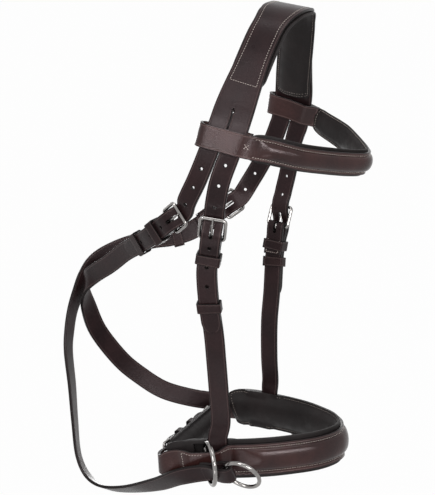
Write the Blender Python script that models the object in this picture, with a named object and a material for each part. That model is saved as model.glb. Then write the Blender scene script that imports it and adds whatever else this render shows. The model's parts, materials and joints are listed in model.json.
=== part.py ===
"""A cross-under bitless bridle of dark leather, in the shape it takes on a head.

Metres, +Z up, +X to the nose, +Y to the horse's left. The origin is the middle of the
underside of the crown pad, where the bridle rests on the poll. Lists of route points are
in millimetres and pass through mm(), with the sideways value counted outward from the
middle plane.
"""

import math
from bisect import bisect_right

import bmesh
import bpy
from mathutils import Vector

MM = 0.001
GAP = 0.3 * MM  # air between pieces that lie on each other
PAD_GAP = 0.5 * MM  # air between a strap and its soft lining
PATH_STEP = 2 * MM  # between the points of a strap's path
STEP = 10 * MM  # longest distance between cross-sections
TURN = math.radians(12)  # largest bend between cross-sections
RIGHT, LEFT = -1, 1
SIDES = ((RIGHT, "right"), (LEFT, "left"))

# Leather
LEATHER = 3.0 * MM
HALF = LEATHER / 2
LAYER = LEATHER + GAP  # from one strap's middle to the next one's that lies on it
CHAPE_LAYER = LEATHER + 0.4 * MM  # from a strap's middle to its own folded end's
BILLET_WIDTH = 19.4 * MM
SLIT = 0.6 * MM
CROWN_WIDTH = 2 * BILLET_WIDTH + SLIT
CROWN_WAIST = 8.0 * MM  # how much narrower the crown is behind the ears
BILLET_SHIFT = (BILLET_WIDTH + SLIT) / 2
HOLE_RADIUS = 2.0 * MM
HOLE_PITCH = 20.0 * MM
HOLE_START = 8.0 * MM  # from bar A to the hole in use
HOLE_MARGIN = 12.0 * MM  # from a strap's end or fork to its nearest hole
SLIT_HOLE_RADIUS = 2.4 * MM
TIP = 12 * MM  # length of a strap's rounded point
FORK_LEAD = 14 * MM  # how far the billets' routes start above the fork
BILLET_FIRST = 6 * MM  # from the fork to a billet's first cross-section
CHEEK_LAYER = LEATHER + 0.9 * MM  # from the noseband's middle in to a cheek's end

# Pads
CROWN_PAD = 7.3 * MM
CROWN_PAD_MARGIN = 4.1 * MM  # how much wider the pad is than the crown
POLL_REST = (25 * MM, 15 * MM)
BROW_HEIGHT = 22 * MM
BROW_PAD = 5.0 * MM
BROW_PAD_HEIGHT = 26.5 * MM
BROW_RAISE = 4.2 * MM
NOSE_HEIGHT = 32 * MM
NOSE_TUNNEL_HEIGHT = 22 * MM
NOSE_REAR_HEIGHT = 26 * MM
NOSE_PAD = 9.0 * MM
NOSE_PAD_HEIGHT = 40 * MM
NOSE_RAISE = 4.5 * MM
NOSE_RAISE_PLACE = (34 * MM, 58 * MM)  # where the strap rises, from the ring forward
CHIN_PAD = 12.0 * MM
CHIN_PAD_HEIGHT = 38 * MM
CHIN_PAD_REACH = 66 * MM  # each way from the chin's middle

# Buckles: bar A is the free one that the tongue rests on, bar B carries tongue and chape
BUCKLE_WIRE = 1.7 * MM
BUCKLE_PITCH = 21.0 * MM
BUCKLE_HALF_WIDTH = BILLET_WIDTH / 2 + 0.6 * MM + BUCKLE_WIRE
BUCKLE_CORNER = 3.0 * MM
BAR_A_OUT = 1.6 * MM
BAR_B_OUT = -CHAPE_LAYER / 2
TONGUE_WIRE = 1.2 * MM
TONGUE_CURL = BUCKLE_WIRE + GAP + TONGUE_WIRE
TONGUE_OVERHANG = 2.6 * MM
TONGUE_SLOT = (6.0 * MM, 18.5 * MM)  # along the billet, from bar A
SLOT_HALF_WIDTH = TONGUE_WIRE + 0.7 * MM
CHAPE_SLOT = 7.5 * MM  # each way along the chape, from bar B
CHAPE_TAIL = 30 * MM
CHAPE_RUN = 14 * MM  # from bar B to where the two layers lie together
FOLD_RADIUS = BUCKLE_WIRE + GAP + HALF
BILLET_UNDER_A = BAR_A_OUT - BUCKLE_WIRE - 0.5 * MM - HALF
BILLET_OVER_B = BAR_B_OUT + FOLD_RADIUS + LAYER

# Keepers
KEEPER = 1.6 * MM
KEEPER_LENGTH = 10.0 * MM
KEEPER_GAP = 0.5 * MM  # air inside a keeper, which the straps' bend needs
KEEPER_PLACE = 15.0 * MM  # from bar B
CROSS_RUNNER_PLACE = 50.0 * MM  # from bar B
CHIN_PAD_BACK = CHAPE_LAYER + HALF + KEEPER_GAP + KEEPER + GAP

# Rings
NOSE_RING_RADIUS = 20.3 * MM
NOSE_RING_WIRE = 2.2 * MM
NOSE_RING_IN = 10.0 * MM  # from the bulged strap's middle in to the ring's inner arc
TUNNEL_BULGE = 6.5 * MM
TUNNEL_REACH = 12 * MM
TUNNEL_RUN = 15 * MM
TUNNEL_WIDENS_BACK = (10 * MM, 18 * MM)  # from the ring back to the rear width
TUNNEL_WIDENS_FRONT = (10 * MM, 24 * MM)  # from the ring forward to the full width
RING_GROOVE = (9 * MM, 16 * MM)
REIN_RING_RADIUS = 17.8 * MM
REIN_RING_WIRE = 2.0 * MM
REIN_FOLD_RADIUS = REIN_RING_WIRE + 1.3 * MM + HALF
REIN_FOLD_LENGTH = 5.0 * MM
REIN_RING_PLACE = 2.5 * MM  # along the fold's straight part
REIN_TAIL = 22 * MM

# Finishes: name, colour, roughness, metallic
BROWN_LEATHER = ("brown leather", (0.030, 0.017, 0.014), 0.45, 0.0)
BLACK_LINING = ("black lining leather", (0.014, 0.011, 0.011), 0.65, 0.0)
STEEL = ("stainless steel", (0.62, 0.61, 0.60), 0.22, 1.0)

# Routes, in millimetres: x, outward y, z
CROWN_LINE = [(0, 0, 8.6), (-1, 17, 7.2), (-2.8, 32, 1.2), (-5.9, 43.5, -9), (-10.7, 55, -27), (-16, 66, -48),
              (-21.2, 77, -70), (-25.5, 87.5, -92), (-31, 94, -116), (-38, 97, -142)]
CROWN_ACROSS = Vector((1, 0, -0.14))
CROWN_WAIST_PLACE = (12 * MM, 45 * MM, 66 * MM, 140 * MM)  # narrowing and widening again, from the poll
UNDER_BROWBAND = (-21.6, 94.3, -117)
UPPER_CHEEK_LINE = {
    RIGHT: [(-29.5, 99, -142), (-33.4, 101, -164), (-36.2, 99.2, -181), (-39, 97.4, -198), (-41.9, 95.5, -215),
            (-44.7, 93.7, -232), (-45.3, 87.5, -262)],
    LEFT: [(-29.5, 99, -142), (-35, 100.5, -172), (-39.6, 98.6, -195), (-41.1, 95.9, -212), (-42.6, 93.2, -229),
           (-44.2, 90.5, -246), (-45.6, 87.9, -262)],
}
LOWER_CHEEK_LINE = [(-44, 79, -297), (-44, 72.5, -328), (-42.5, 69, -365), (-41, 69, -390)]
CHEEK_TURN = 0.24  # how much the cheeks face forward
REAR_UNDER_BROWBAND = (-42.4, 94.3, -115)
RIGHT_CROSS_LINE = [(-52.5, 98, -142), (-63.5, 95.5, -163), (-69.5, 92.8, -175.7), (-80, 88.1, -183.8),
                    (-88.1, 84.5, -190.1), (-94.1, 81.8, -194.7), (-109.8, 74.8, -206.9), (-131, 59, -221),
                    (-155, 42, -236), (-180, 26, -255), (-203, 13, -270.5), (-215, 7, -281), (-221, 1, -297),
                    (-222, -7, -314), (-217.7, -20, -344), (-201, -37, -378), (-183, -48, -398),
                    (-159, -58, -415), (-130, -72, -425), (-104, -86, -430), (-78, -94, -432.5),
                    (-52, -95.5, -433.5), (-36, -95, -437), (-18, -94.5, -442), (-6, -94, -445)]
RIGHT_CROSS_OUT = [(-0.05, 1, 0), (-0.1, 1, 0), (-0.3, 0.92, -0.15), (-0.3, 0.92, -0.15), (-0.3, 0.92, -0.15),
                   (-0.3, 0.92, -0.15), (-0.36, 0.9, -0.2), (-0.4, 0.88, -0.25), (-0.4, 0.88, -0.25),
                   (-0.45, 0.83, -0.3), (-0.6, 0.7, -0.35), (-0.8, 0.45, -0.4), (-0.95, 0.0, -0.2),
                   (-0.85, -0.4, -0.2), (-0.65, -0.7, -0.3), (-0.5, -0.75, -0.4), (-0.35, -0.8, -0.45),
                   (-0.2, -0.85, -0.45), (0.1, -0.93, -0.3), (0.2, -0.95, -0.15), (0.22, -0.97, -0.1),
                   (0.16, -0.93, -0.33), (0.1, -0.86, -0.5), (0.1, -0.86, -0.5), (0.1, -0.86, -0.5)]
LEFT_CROSS_LINE = [(-52.5, 100, -142), (-64, 97, -166), (-75, 94, -186), (-83.5, 88.9, -201), (-92.2, 80.5, -208),
                   (-99.1, 73.9, -213.5), (-104, 69, -217.5), (-122, 51.5, -232), (-141, 41, -238.5),
                   (-162, 32.5, -242), (-189, 22, -250.5), (-212, 13, -264), (-224, 8, -281), (-231, 3, -298),
                   (-234.5, -5, -316), (-234, -14, -335), (-231, -23, -355), (-223, -32, -389),
                   (-216.6, -40, -424), (-209, -48, -458), (-195, -54, -477), (-173, -61, -483),
                   (-142, -68, -477), (-104, -81, -460.5), (-76, -92.5, -444), (-52, -95, -435),
                   (-36, -95, -432.5), (-18, -94.5, -430.5), (-6, -94, -429)]
LEFT_CROSS_OUT = [(-0.05, 1, 0), (-0.05, 1, 0), (-0.1, 0.98, -0.1), (-0.45, 0.88, -0.25), (-0.45, 0.88, -0.25),
                  (-0.45, 0.88, -0.25), (-0.45, 0.88, -0.25), (-0.4, 0.88, -0.25), (-0.4, 0.85, -0.3),
                  (-0.4, 0.85, -0.3), (-0.45, 0.8, -0.35), (-0.6, 0.7, -0.35), (-0.85, 0.4, -0.3),
                  (-0.97, 0.15, -0.1), (-1, 0.02, 0), (-1, -0.02, 0), (-0.99, -0.1, -0.05), (-0.98, -0.18, -0.1),
                  (-0.96, -0.28, -0.2), (-0.9, -0.37, -0.35), (-0.6, -0.4, -0.7), (-0.2, -0.45, -0.87),
                  (0.15, -0.6, -0.78), (0.25, -0.85, -0.5), (0.25, -0.93, -0.3), (0.16, -0.93, -0.33),
                  (0.1, -0.86, -0.5), (0.1, -0.86, -0.5), (0.1, -0.86, -0.5)]
GIRTH_PLAN = [(-105, 0), (-105, 20), (-105, 40), (-105, 57), (-103, 71), (-95, 81), (-80, 84.5), (-58, 81),
              (-29, 72), (-10, 65.5), (10, 56.5), (29, 44.5), (44, 33), (54, 20.5), (59.5, 8), (60.5, 0)]
GIRTH_HEIGHT = -426.2
GIRTH_PITCH = 0.061
GIRTH_SAG = 7.0  # how much lower the band lies behind the chin
GIRTH_SAG_X = (-70, -98)
BROW_LOOP_TAIL = [(14, 80), (7, 84.2), (0, 86), (-8, 86.2), (-28, 86.2), (-45, 86.2)]
BROW_TURN = (-46.5, 92.2, 6)  # middle of the loop's rear bend and its radius
BROW_PLAN = [(-45, 98.2), (-28, 98.2), (-14, 98.2), (-6, 97.2), (1, 94.2), (13, 85.5), (25, 77.5), (39, 66),
             (55.5, 44), (71, 20.5), (79, 0)]
BROW_HEIGHTS = [(-52, -100), (-25, -105.5), (-3, -111.5), (17, -117.3), (43, -125.8), (63, -131.8), (87, -137.5)]
BROW_ROLL = 0.035  # how much lower the left side hangs in front
BROW_ROLL_X = (-45, 20)
BROW_LEAN = 0.22  # how much the loops lean with the headpiece
BROW_LEAN_X = (-18, 60)  # where that ends, going forward
BROW_LINING_X = 21 * MM
BROW_RAISE_PLACE = (-9 * MM, 16 * MM)  # along the band, from where the lining starts

# Where things sit
SPLIT_HEIGHT = {RIGHT: -80.6 * MM, LEFT: -118 * MM}
CROWN_PAD_END = {RIGHT: -51 * MM, LEFT: -89 * MM}
CHEEK_BAR_A = {RIGHT: -178 * MM, LEFT: -209 * MM}
CHEEK_TIP = {RIGHT: -293 * MM, LEFT: -302 * MM}
RUNNER_HEIGHT = -262 * MM
CROSS_BAR_A = {RIGHT: -178 * MM, LEFT: -203 * MM}
CROSS_TIP = 102 * MM
CHIN_BAR_A = 57 * MM
CHIN_TIP = 7 * MM
CHIN_TAIL = 34 * MM
CHIN_KEEPER = 10 * MM
CORNER = 82 * MM  # from the chin's middle to the noseband's rear corner
CORNER_BULGE = 4 * MM
CORNER_RUN = 16 * MM  # from the corner to where the strap lies on its lining
REAR_WIDENS = 10 * MM  # from the corner to the rear width
NOSE_LINING_START = 90 * MM
CHEEK_X = -40.5 * MM
CHEEK_END = (22 * MM, 7 * MM, -8 * MM)  # heights on the noseband that the cheek's end passes
RING_X = -53.5 * MM
NOSE_RING_SWING = {RIGHT: 21, LEFT: -16}
NOSE_RING_RAISE = {RIGHT: 2.0 * MM, LEFT: -2.0 * MM}  # of its hinge, above the band's middle
REIN_FOLD_X = -28.2 * MM
REIN_RING_SWING = {RIGHT: 4, LEFT: 8}


def mm(points, side=1):
    """Millimetre points as metres, mirrored to one side."""
    return [Vector((x, side * y, z)) * MM for x, y, z in points]


def spline(points, per_span=10):
    """Points of a smooth curve through the given vectors."""
    ends = [2 * points[0] - points[1], *points, 2 * points[-1] - points[-2]]
    curve = []
    for a, b, c, d in zip(ends, ends[1:], ends[2:], ends[3:]):
        for i in range(per_span):
            t = i / per_span
            curve.append(
                0.5 * (2 * b + (c - a) * t + (2 * a - 5 * b + 4 * c - d) * t**2
                       + (3 * b - 3 * c + d - a) * t**3)
            )
    curve.append(points[-1].copy())
    return curve


def lengths(points):
    """Distance along a row of points, from its first one."""
    run = [0.0]
    for a, b in zip(points, points[1:]):
        run.append(run[-1] + (b - a).length)
    return run


def ramp(value, low, high):
    """0 below low, 1 above high, smooth between."""
    t = min(max((value - low) / (high - low), 0.0), 1.0)
    return t * t * (3 - 2 * t)


class Route:
    """A smooth line in space with a sideways and an outward direction all along it."""

    def __init__(self, points, hand, across=None, out=None):
        self.points = spline(points, 12)
        self.run = lengths(self.points)
        guides = spline(across or out, 12)
        self.frames = []
        last = len(self.points) - 1
        for i, guide in enumerate(guides):
            along = (self.points[min(i + 1, last)] - self.points[max(i - 1, 0)]).normalized()
            flat = (guide - guide.dot(along) * along).normalized()
            if across:
                self.frames.append((along, flat, hand * along.cross(flat)))
            else:
                self.frames.append((along, hand * flat.cross(along), flat))
        self.zero = 0.0

    def length(self):
        return self.run[-1] - self.zero

    def frame(self, s):
        """Point, along, across and outward at a distance s along the route."""
        at = s + self.zero
        i = min(max(bisect_right(self.run, at) - 1, 0), len(self.run) - 2)
        t = (at - self.run[i]) / (self.run[i + 1] - self.run[i])
        point = self.points[i].lerp(self.points[i + 1], t)
        share = min(max(t, 0.0), 1.0)
        axes = [a.lerp(b, share).normalized() for a, b in zip(self.frames[i], self.frames[i + 1])]
        return point, *axes

    def place(self, s, w, n):
        point, _, across, out = self.frame(s)
        return point + w * across + n * out

    def at(self, axis, value, last=False):
        """Distance along the route at which a coordinate first, or last, passes a value."""
        found = []
        for i, (a, b) in enumerate(zip(self.points, self.points[1:])):
            if (a[axis] - value) * (b[axis] - value) <= 0 and a[axis] != b[axis]:
                t = (value - a[axis]) / (b[axis] - a[axis])
                found.append(self.run[i] + t * (self.run[i + 1] - self.run[i]) - self.zero)
        return found[-1] if last else found[0]


class Looped:
    """A closed route whose distances also count backwards from its start."""

    def __init__(self, route):
        self.route = route

    def frame(self, s):
        return self.route.frame(s if s >= 0 else self.route.length() + s)

    def place(self, s, w, n):
        return self.route.place(s if s >= 0 else self.route.length() + s, w, n)


class Flat:
    """A flat frame: s and n lie in its plane, and w stands across them."""

    def __init__(self, origin, along, out):
        self.origin, self.along, self.out = origin, along, out
        self.across = along.cross(out)

    def place(self, s, w, n):
        return self.origin + s * self.along + w * self.across + n * self.out


def add(name, bm, finish=None, origin=None):
    """An object from a bmesh, its faces turned outward, its origin where it's asked for."""
    bmesh.ops.recalc_face_normals(bm, faces=bm.faces)
    if origin:
        bmesh.ops.translate(bm, verts=bm.verts, vec=-origin)
    mesh = bpy.data.meshes.new(name)
    bm.to_mesh(mesh)
    bm.free()
    obj = bpy.data.objects.new(name, mesh)
    bpy.context.scene.collection.objects.link(obj)
    if origin:
        obj.location = origin
    if finish:
        mesh.materials.append(material(name, *finish))
    mesh.shade_smooth()
    mesh.set_sharp_from_angle(angle=math.radians(40))
    return obj


def material(piece, finish, colour, roughness, metallic):
    made = bpy.data.materials.new(f"{piece} {finish}")
    made.use_nodes = True
    shader = made.node_tree.nodes["Principled BSDF"]
    shader.inputs["Base Color"].default_value = (*colour, 1)
    shader.inputs["Roughness"].default_value = roughness
    shader.inputs["Metallic"].default_value = metallic
    return made


def cut_away(obj, tool, solver="EXACT"):
    """Cuts a tool out of an object and removes the tool."""
    bpy.context.view_layer.update()
    change = obj.modifiers.new("Cut", "BOOLEAN")
    change.object = tool
    change.operation = "DIFFERENCE"
    change.solver = solver
    with bpy.context.temp_override(object=obj, active_object=obj, selected_objects=[obj]):
        bpy.ops.object.modifier_apply(modifier=change.name)
    bpy.data.objects.remove(tool)


def skin(bm, rows, closed=False):
    """Faces between rows of vertices of the same number."""
    count = len(rows[0])
    pairs = list(zip(rows, rows[1:])) + ([(rows[-1], rows[0])] if closed else [])
    for a, b in pairs:
        for i in range(count):
            j = (i + 1) % count
            bm.faces.new((a[i], a[j], b[j], b[i]))


def loft(rings, closed=False):
    """A skin through rings of points, capped unless it closes on itself."""
    bm = bmesh.new()
    rows = [[bm.verts.new(p) for p in ring] for ring in rings]
    skin(bm, rows, closed)
    if not closed:
        bm.faces.new(rows[0])
        bm.faces.new(rows[-1])
    return bm


def eased(places):
    """A path through (s, n) places, level at each of them and smooth between."""
    path = []
    for (s0, n0), (s1, n1) in zip(places, places[1:]):
        count = max(1, math.ceil(abs(s1 - s0) / PATH_STEP))
        for i in range(count):
            t = i / count
            path.append((s0 + (s1 - s0) * t, n0 + (n1 - n0) * ramp(t, 0.0, 1.0)))
    path.append(places[-1])
    return path


def stations(route, path):
    """Cross-sections along a dense path of (s, n) points: s, n and the outward direction in (s, n)."""
    last = len(path) - 1
    headings = []
    for i in range(len(path)):
        (s0, n0), (s1, n1) = path[max(i - 1, 0)], path[min(i + 1, last)]
        size = math.hypot(s1 - s0, n1 - n0)
        headings.append(((s1 - s0) / size, (n1 - n0) / size))
    kept = []
    run = 0.0
    for i, ((s, n), (hs, hn)) in enumerate(zip(path, headings)):
        _, along, _, out = route.frame(s)
        facing = (hs * along + hn * out).normalized()
        if i:
            run += math.hypot(s - path[i - 1][0], n - path[i - 1][1])
        if not kept or i == last or run >= STEP or facing.angle(kept_facing) >= TURN:
            if i == last and run < MM:
                kept.pop()
            kept.append((s, n, -hn, hs))
            kept_facing = facing
            run = 0.0
    return kept


def flat_section(width, _):
    """A strap's cross-section as (across, outward) points about its middle."""
    return [(-width / 2, -HALF), (width / 2, -HALF), (width / 2, HALF), (-width / 2, HALF)]


def raised_section(width, rise):
    """A strap's cross-section whose outer face is raised along the middle."""
    crown = [(0.5, 0), (0.36, 0), (0.27, 0.62), (0.12, 0.95), (-0.12, 0.95), (-0.27, 0.62), (-0.36, 0)]
    top = [(width * w, HALF + rise * n) for w, n in crown]
    return [(-width / 2, -HALF), (width / 2, -HALF), *top, (-width / 2, HALF)]


def ring_at(route, station, shape):
    """The points of one cross-section."""
    s, n, out_s, out_n = station
    return [route.place(s + d * out_s, w, n + d * out_n) for w, d in shape]


def level(_):
    return 0.0


def strap(name, route, path, width=None, section=flat_section, rise=level):
    """A strap along a path of (s, n) points, whose width and rise may change with s."""
    wide = width or (lambda _: BILLET_WIDTH)
    rings = [ring_at(route, at, section(wide(at[0]), rise(at[0]))) for at in stations(route, path)]
    return add(name, loft(rings), BROWN_LEATHER)


def pointed(distance, width=BILLET_WIDTH):
    """The width of a strap at a distance from its rounded point."""
    left = min(max(distance / TIP, 0.0), 1.0)
    return width * (0.30 + 0.70 * math.sqrt(1 - (1 - left) ** 2))


def pad_section(width, thick):
    """A soft lining: a flat back, edges drawn in to a thin flange, and a crowned face."""
    edge = 0.28 * thick
    face = [(0.5, -0.5 * edge), (0.49, -edge), (0.42, -edge), (0.34, -0.62 * thick), (0.22, -0.92 * thick),
            (0.08, -thick)]
    near = [(w * width, n) for w, n in face]
    far = [(-w, n) for w, n in reversed(near)]
    return [(-0.48 * width, 0.0), (0.48 * width, 0.0), *near, *far]


def pad(name, route, start, end, back, width, thick, rounding=14 * MM):
    """A soft lining behind a strap, rounded off towards both of its ends."""
    places = [s for s, *_ in stations(route, eased([(start, -back), (end, -back)]))]
    places = [s for s in places if start + rounding / 2 < s < end - rounding / 2]
    places += [start + f * rounding for f in (0, 0.12, 0.4)] + [end - f * rounding for f in (0, 0.12, 0.4)]
    rings = []
    for s in sorted(places):
        share = min((s - start) / rounding, (end - s) / rounding, 1.0)
        full = math.sqrt(max(0.0, 1 - (1 - share) ** 2))
        shape = pad_section(width(s) * (0.72 + 0.28 * full), thick * (0.36 + 0.64 * full))
        rings.append([route.place(s, w, n - back) for w, n in shape])
    return add(name, loft(rings), BLACK_LINING)


def rounded(u0, u1, w0, w1, corner, angles):
    """The outline of a rectangle with rounded corners, anticlockwise."""
    centres = ((u1 - corner, w1 - corner), (u0 + corner, w1 - corner), (u0 + corner, w0 + corner),
               (u1 - corner, w0 + corner))
    points = []
    for quarter, (u, w) in enumerate(centres):
        for angle in angles:
            a = math.radians(90 * quarter + angle)
            points.append((u + corner * math.cos(a), w + corner * math.sin(a)))
    return points


def prism(route, outline, low, high):
    """A cutter: an outline of (s, w) points, drawn out from one height to another."""
    rings = [[route.place(s, w, n) for s, w in outline] for n in (low, high)]
    return add("cutter", loft(rings))


def cut_hole(obj, route, s, n, radius=HOLE_RADIUS):
    turns = [math.tau * i / 10 for i in range(10)]
    outline = [(s + radius * math.cos(a), radius * math.sin(a)) for a in turns]
    cut_away(obj, prism(route, outline, n - 2 * LEATHER, n + 2 * LEATHER))


def cut_slot(obj, route, start, end, low, high, w0=-SLOT_HALF_WIDTH, w1=SLOT_HALF_WIDTH, solver="EXACT"):
    outline = [(start, w0), (end, w0), (end, w1), (start, w1)]
    cut_away(obj, prism(route, outline, low, high), solver)


def rod(name, points, radius, origin=None, closed=False, sides=8, tip=1.0):
    """A round steel rod along points, closed into a ring or with a narrower last end."""
    rings = []
    count = len(points)
    side = None
    for i, point in enumerate(points):
        before = points[i - 1] if closed or i else point
        after = points[(i + 1) % count] if closed or i < count - 1 else point
        along = (after - before).normalized()
        side = side or along.orthogonal()
        side = (side - side.dot(along) * along).normalized()
        other = along.cross(side)
        r = radius * (tip if i == count - 1 and not closed else 1.0)
        turns = [math.tau * (k + 0.5) / sides for k in range(sides)]
        rings.append([point + r * (math.cos(a) * side + math.sin(a) * other) for a in turns])
    return add(name, loft(rings, closed), STEEL, origin)


def ring(name, hinge, axis, outward, radius, wire):
    """A round wire ring standing in the plane of its hinge axis, with its origin on that axis."""
    centre = hinge + radius * outward
    turns = [math.tau * i / 28 for i in range(28)]
    points = [centre + radius * (math.cos(a) * outward + math.sin(a) * axis) for a in turns]
    return rod(name, points, wire, hinge, closed=True)


def keeper(name, route, s, low, high, origin=None):
    """A closed leather loop around straps that lie between two heights."""
    bm = bmesh.new()
    half_width = BILLET_WIDTH / 2
    rows = []
    outer = KEEPER_GAP + KEEPER
    for grow, at in ((KEEPER_GAP, s), (outer, s), (outer, s + KEEPER_LENGTH), (KEEPER_GAP, s + KEEPER_LENGTH)):
        shape = rounded(-half_width - grow, half_width + grow, low - grow, high + grow,
                        grow, (0, 45, 90))
        rows.append([bm.verts.new(route.place(at, w, n)) for w, n in shape])
    skin(bm, rows, closed=True)
    return add(name, bm, BROWN_LEATHER, origin)


def fold_path(far, bar, direction, radius=FOLD_RADIUS, reach=0.0, tail=CHAPE_TAIL):
    """A strap end folded inward round a bar, from far along it to the end of the tail behind it.

    direction is +1 where the strap lies at larger s than the bar.
    """
    top, low = BAR_B_OUT + radius, BAR_B_OUT - radius
    over = eased([(far, 0.0), (bar + direction * CHAPE_RUN, 0.0), (bar, top)])
    arc = []
    for i in range(13):
        a = math.pi * (0.5 + i / 12)
        arc.append((bar + direction * (radius * math.cos(a) - reach), BAR_B_OUT + radius * math.sin(a)))
    under = eased([(bar, low), (bar + direction * CHAPE_RUN, -CHAPE_LAYER), (bar + direction * tail, -CHAPE_LAYER)])
    return over[:-1] + ([(bar, top)] if reach else []) + arc + (under if reach else under[1:])


def billet_places(bar_a, tip, direction, lead):
    """Where a billet passes under bar A, over the chape at bar B, and lies down beyond it."""
    def s(x):
        return bar_a + direction * x
    return lead + [
        (s(-4 * MM), BILLET_UNDER_A), (s(1 * MM), BILLET_UNDER_A), (s(BUCKLE_PITCH - 3 * MM), BILLET_OVER_B),
        (s(BUCKLE_PITCH + 3 * MM), BILLET_OVER_B), (s(BUCKLE_PITCH + KEEPER_PLACE - 1 * MM), LAYER), (tip, LAYER),
    ]


def buckle(tag, route, bar_a, direction=1):
    """A buckle frame lying on the route and its tongue, which turns on bar B."""
    point, along, across, out = route.frame(bar_a + direction * BUCKLE_PITCH)
    slope = math.atan2(BAR_A_OUT - BAR_B_OUT, BUCKLE_PITCH)
    to_a = -direction * math.cos(slope) * along + math.sin(slope) * out
    up = (out - out.dot(to_a) * to_a).normalized()
    bar_b = point + BAR_B_OUT * out
    reach = math.hypot(BAR_A_OUT - BAR_B_OUT, BUCKLE_PITCH)
    outline = rounded(0.0, reach, -BUCKLE_HALF_WIDTH, BUCKLE_HALF_WIDTH, BUCKLE_CORNER, (0, 30, 60, 90))
    rod(f"{tag}_buckle_frame", [bar_b + u * to_a + w * across for u, w in outline], BUCKLE_WIRE, closed=True)
    curl = []
    for degrees in range(-50, -271, -22):
        a = math.radians(degrees)
        curl.append(bar_b + TONGUE_CURL * (math.cos(a) * to_a + math.sin(a) * up))
    shaft = [bar_b + u * to_a + TONGUE_CURL * up for u in (reach / 4, reach / 2, reach, reach + TONGUE_OVERHANG)]
    rod(f"{tag}_buckle_tongue", curl + shaft, TONGUE_WIRE, bar_b, sides=6, tip=0.5)


def crown_route():
    points = mm(CROWN_LINE, RIGHT)[::-1] + mm(CROWN_LINE[1:], LEFT)
    route = Route(points, -1, across=[CROWN_ACROSS] * len(points))
    route.zero = route.at(1, 0.0)
    return route


def crown_width(s):
    """Wide on the poll and at the forks, narrower behind the ears."""
    start, full, back, end = CROWN_WAIST_PLACE
    return CROWN_WIDTH - CROWN_WAIST * (ramp(abs(s), start, full) - ramp(abs(s), back, end))


def crown_section(s):
    """A cross-section of the crown with corners ready for the slit at its forks."""
    half, slit = crown_width(s) / 2, SLIT / 2
    low = [(w, -HALF) for w in (-half, -slit, slit, half)]
    high = [(w, HALF) for w in (half, slit, -slit, -half)]
    return low + high


def girth_route():
    """The noseband's line from the chin's middle round the right side, the front and the left side."""
    plan = [(x, -y) for x, y in GIRTH_PLAN] + GIRTH_PLAN[-2::-1]
    points = []
    for x, y in plan:
        sag = GIRTH_SAG * ramp(-x, -GIRTH_SAG_X[0], -GIRTH_SAG_X[1])
        points.append(Vector((x, y, GIRTH_HEIGHT + GIRTH_PITCH * (x + 29) - sag)) * MM)
    return Route(points, 1, across=[Vector((-GIRTH_PITCH, 0, 1))] * len(points))


def side_routes(crown, girth):
    """The front billets' and cheeks' routes, and the rear billets' and cross-under straps'."""
    front, rear, forks = {}, {}, {}
    for side, _ in SIDES:
        forks[side] = crown.at(2, SPLIT_HEIGHT[side], last=side == LEFT)
        fork = [forks[side] - side * FORK_LEAD, forks[side]]
        front_line, rear_line = UPPER_CHEEK_LINE[side] + LOWER_CHEEK_LINE, LEFT_CROSS_LINE
        rear_out = LEFT_CROSS_OUT
        turns = [CHEEK_TURN] * len(front_line)
        if side == RIGHT:
            fork.append(forks[side] + side * FORK_LEAD)
            front_line = [UNDER_BROWBAND] + front_line
            rear_line = [REAR_UNDER_BROWBAND] + RIGHT_CROSS_LINE
            rear_out = RIGHT_CROSS_OUT[:1] + RIGHT_CROSS_OUT
            turns = [CHEEK_TURN / 2] + turns
        cheek_at = girth.at(0, CHEEK_X, last=side == LEFT)
        forward = -side * girth.frame(cheek_at)[1]
        points = [crown.place(s, BILLET_SHIFT, 0.0) for s in fork] + mm(front_line, side)
        points += [girth.place(cheek_at, w, -CHEEK_LAYER) for w in CHEEK_END]
        across = [crown.frame(s)[2] for s in fork] + [Vector((1, -side * turn, -0.1)) for turn in turns]
        front[side] = Route(points, -side, across=across + [forward] * len(CHEEK_END))
        points = [crown.place(s, -BILLET_SHIFT, 0.0) for s in fork] + mm(rear_line, side)
        out = [crown.frame(s)[3] for s in fork] + [Vector((x, side * y, z)) for x, y, z in rear_out]
        rear[side] = Route(points, -side, out=out)
    return front, rear, forks


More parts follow.
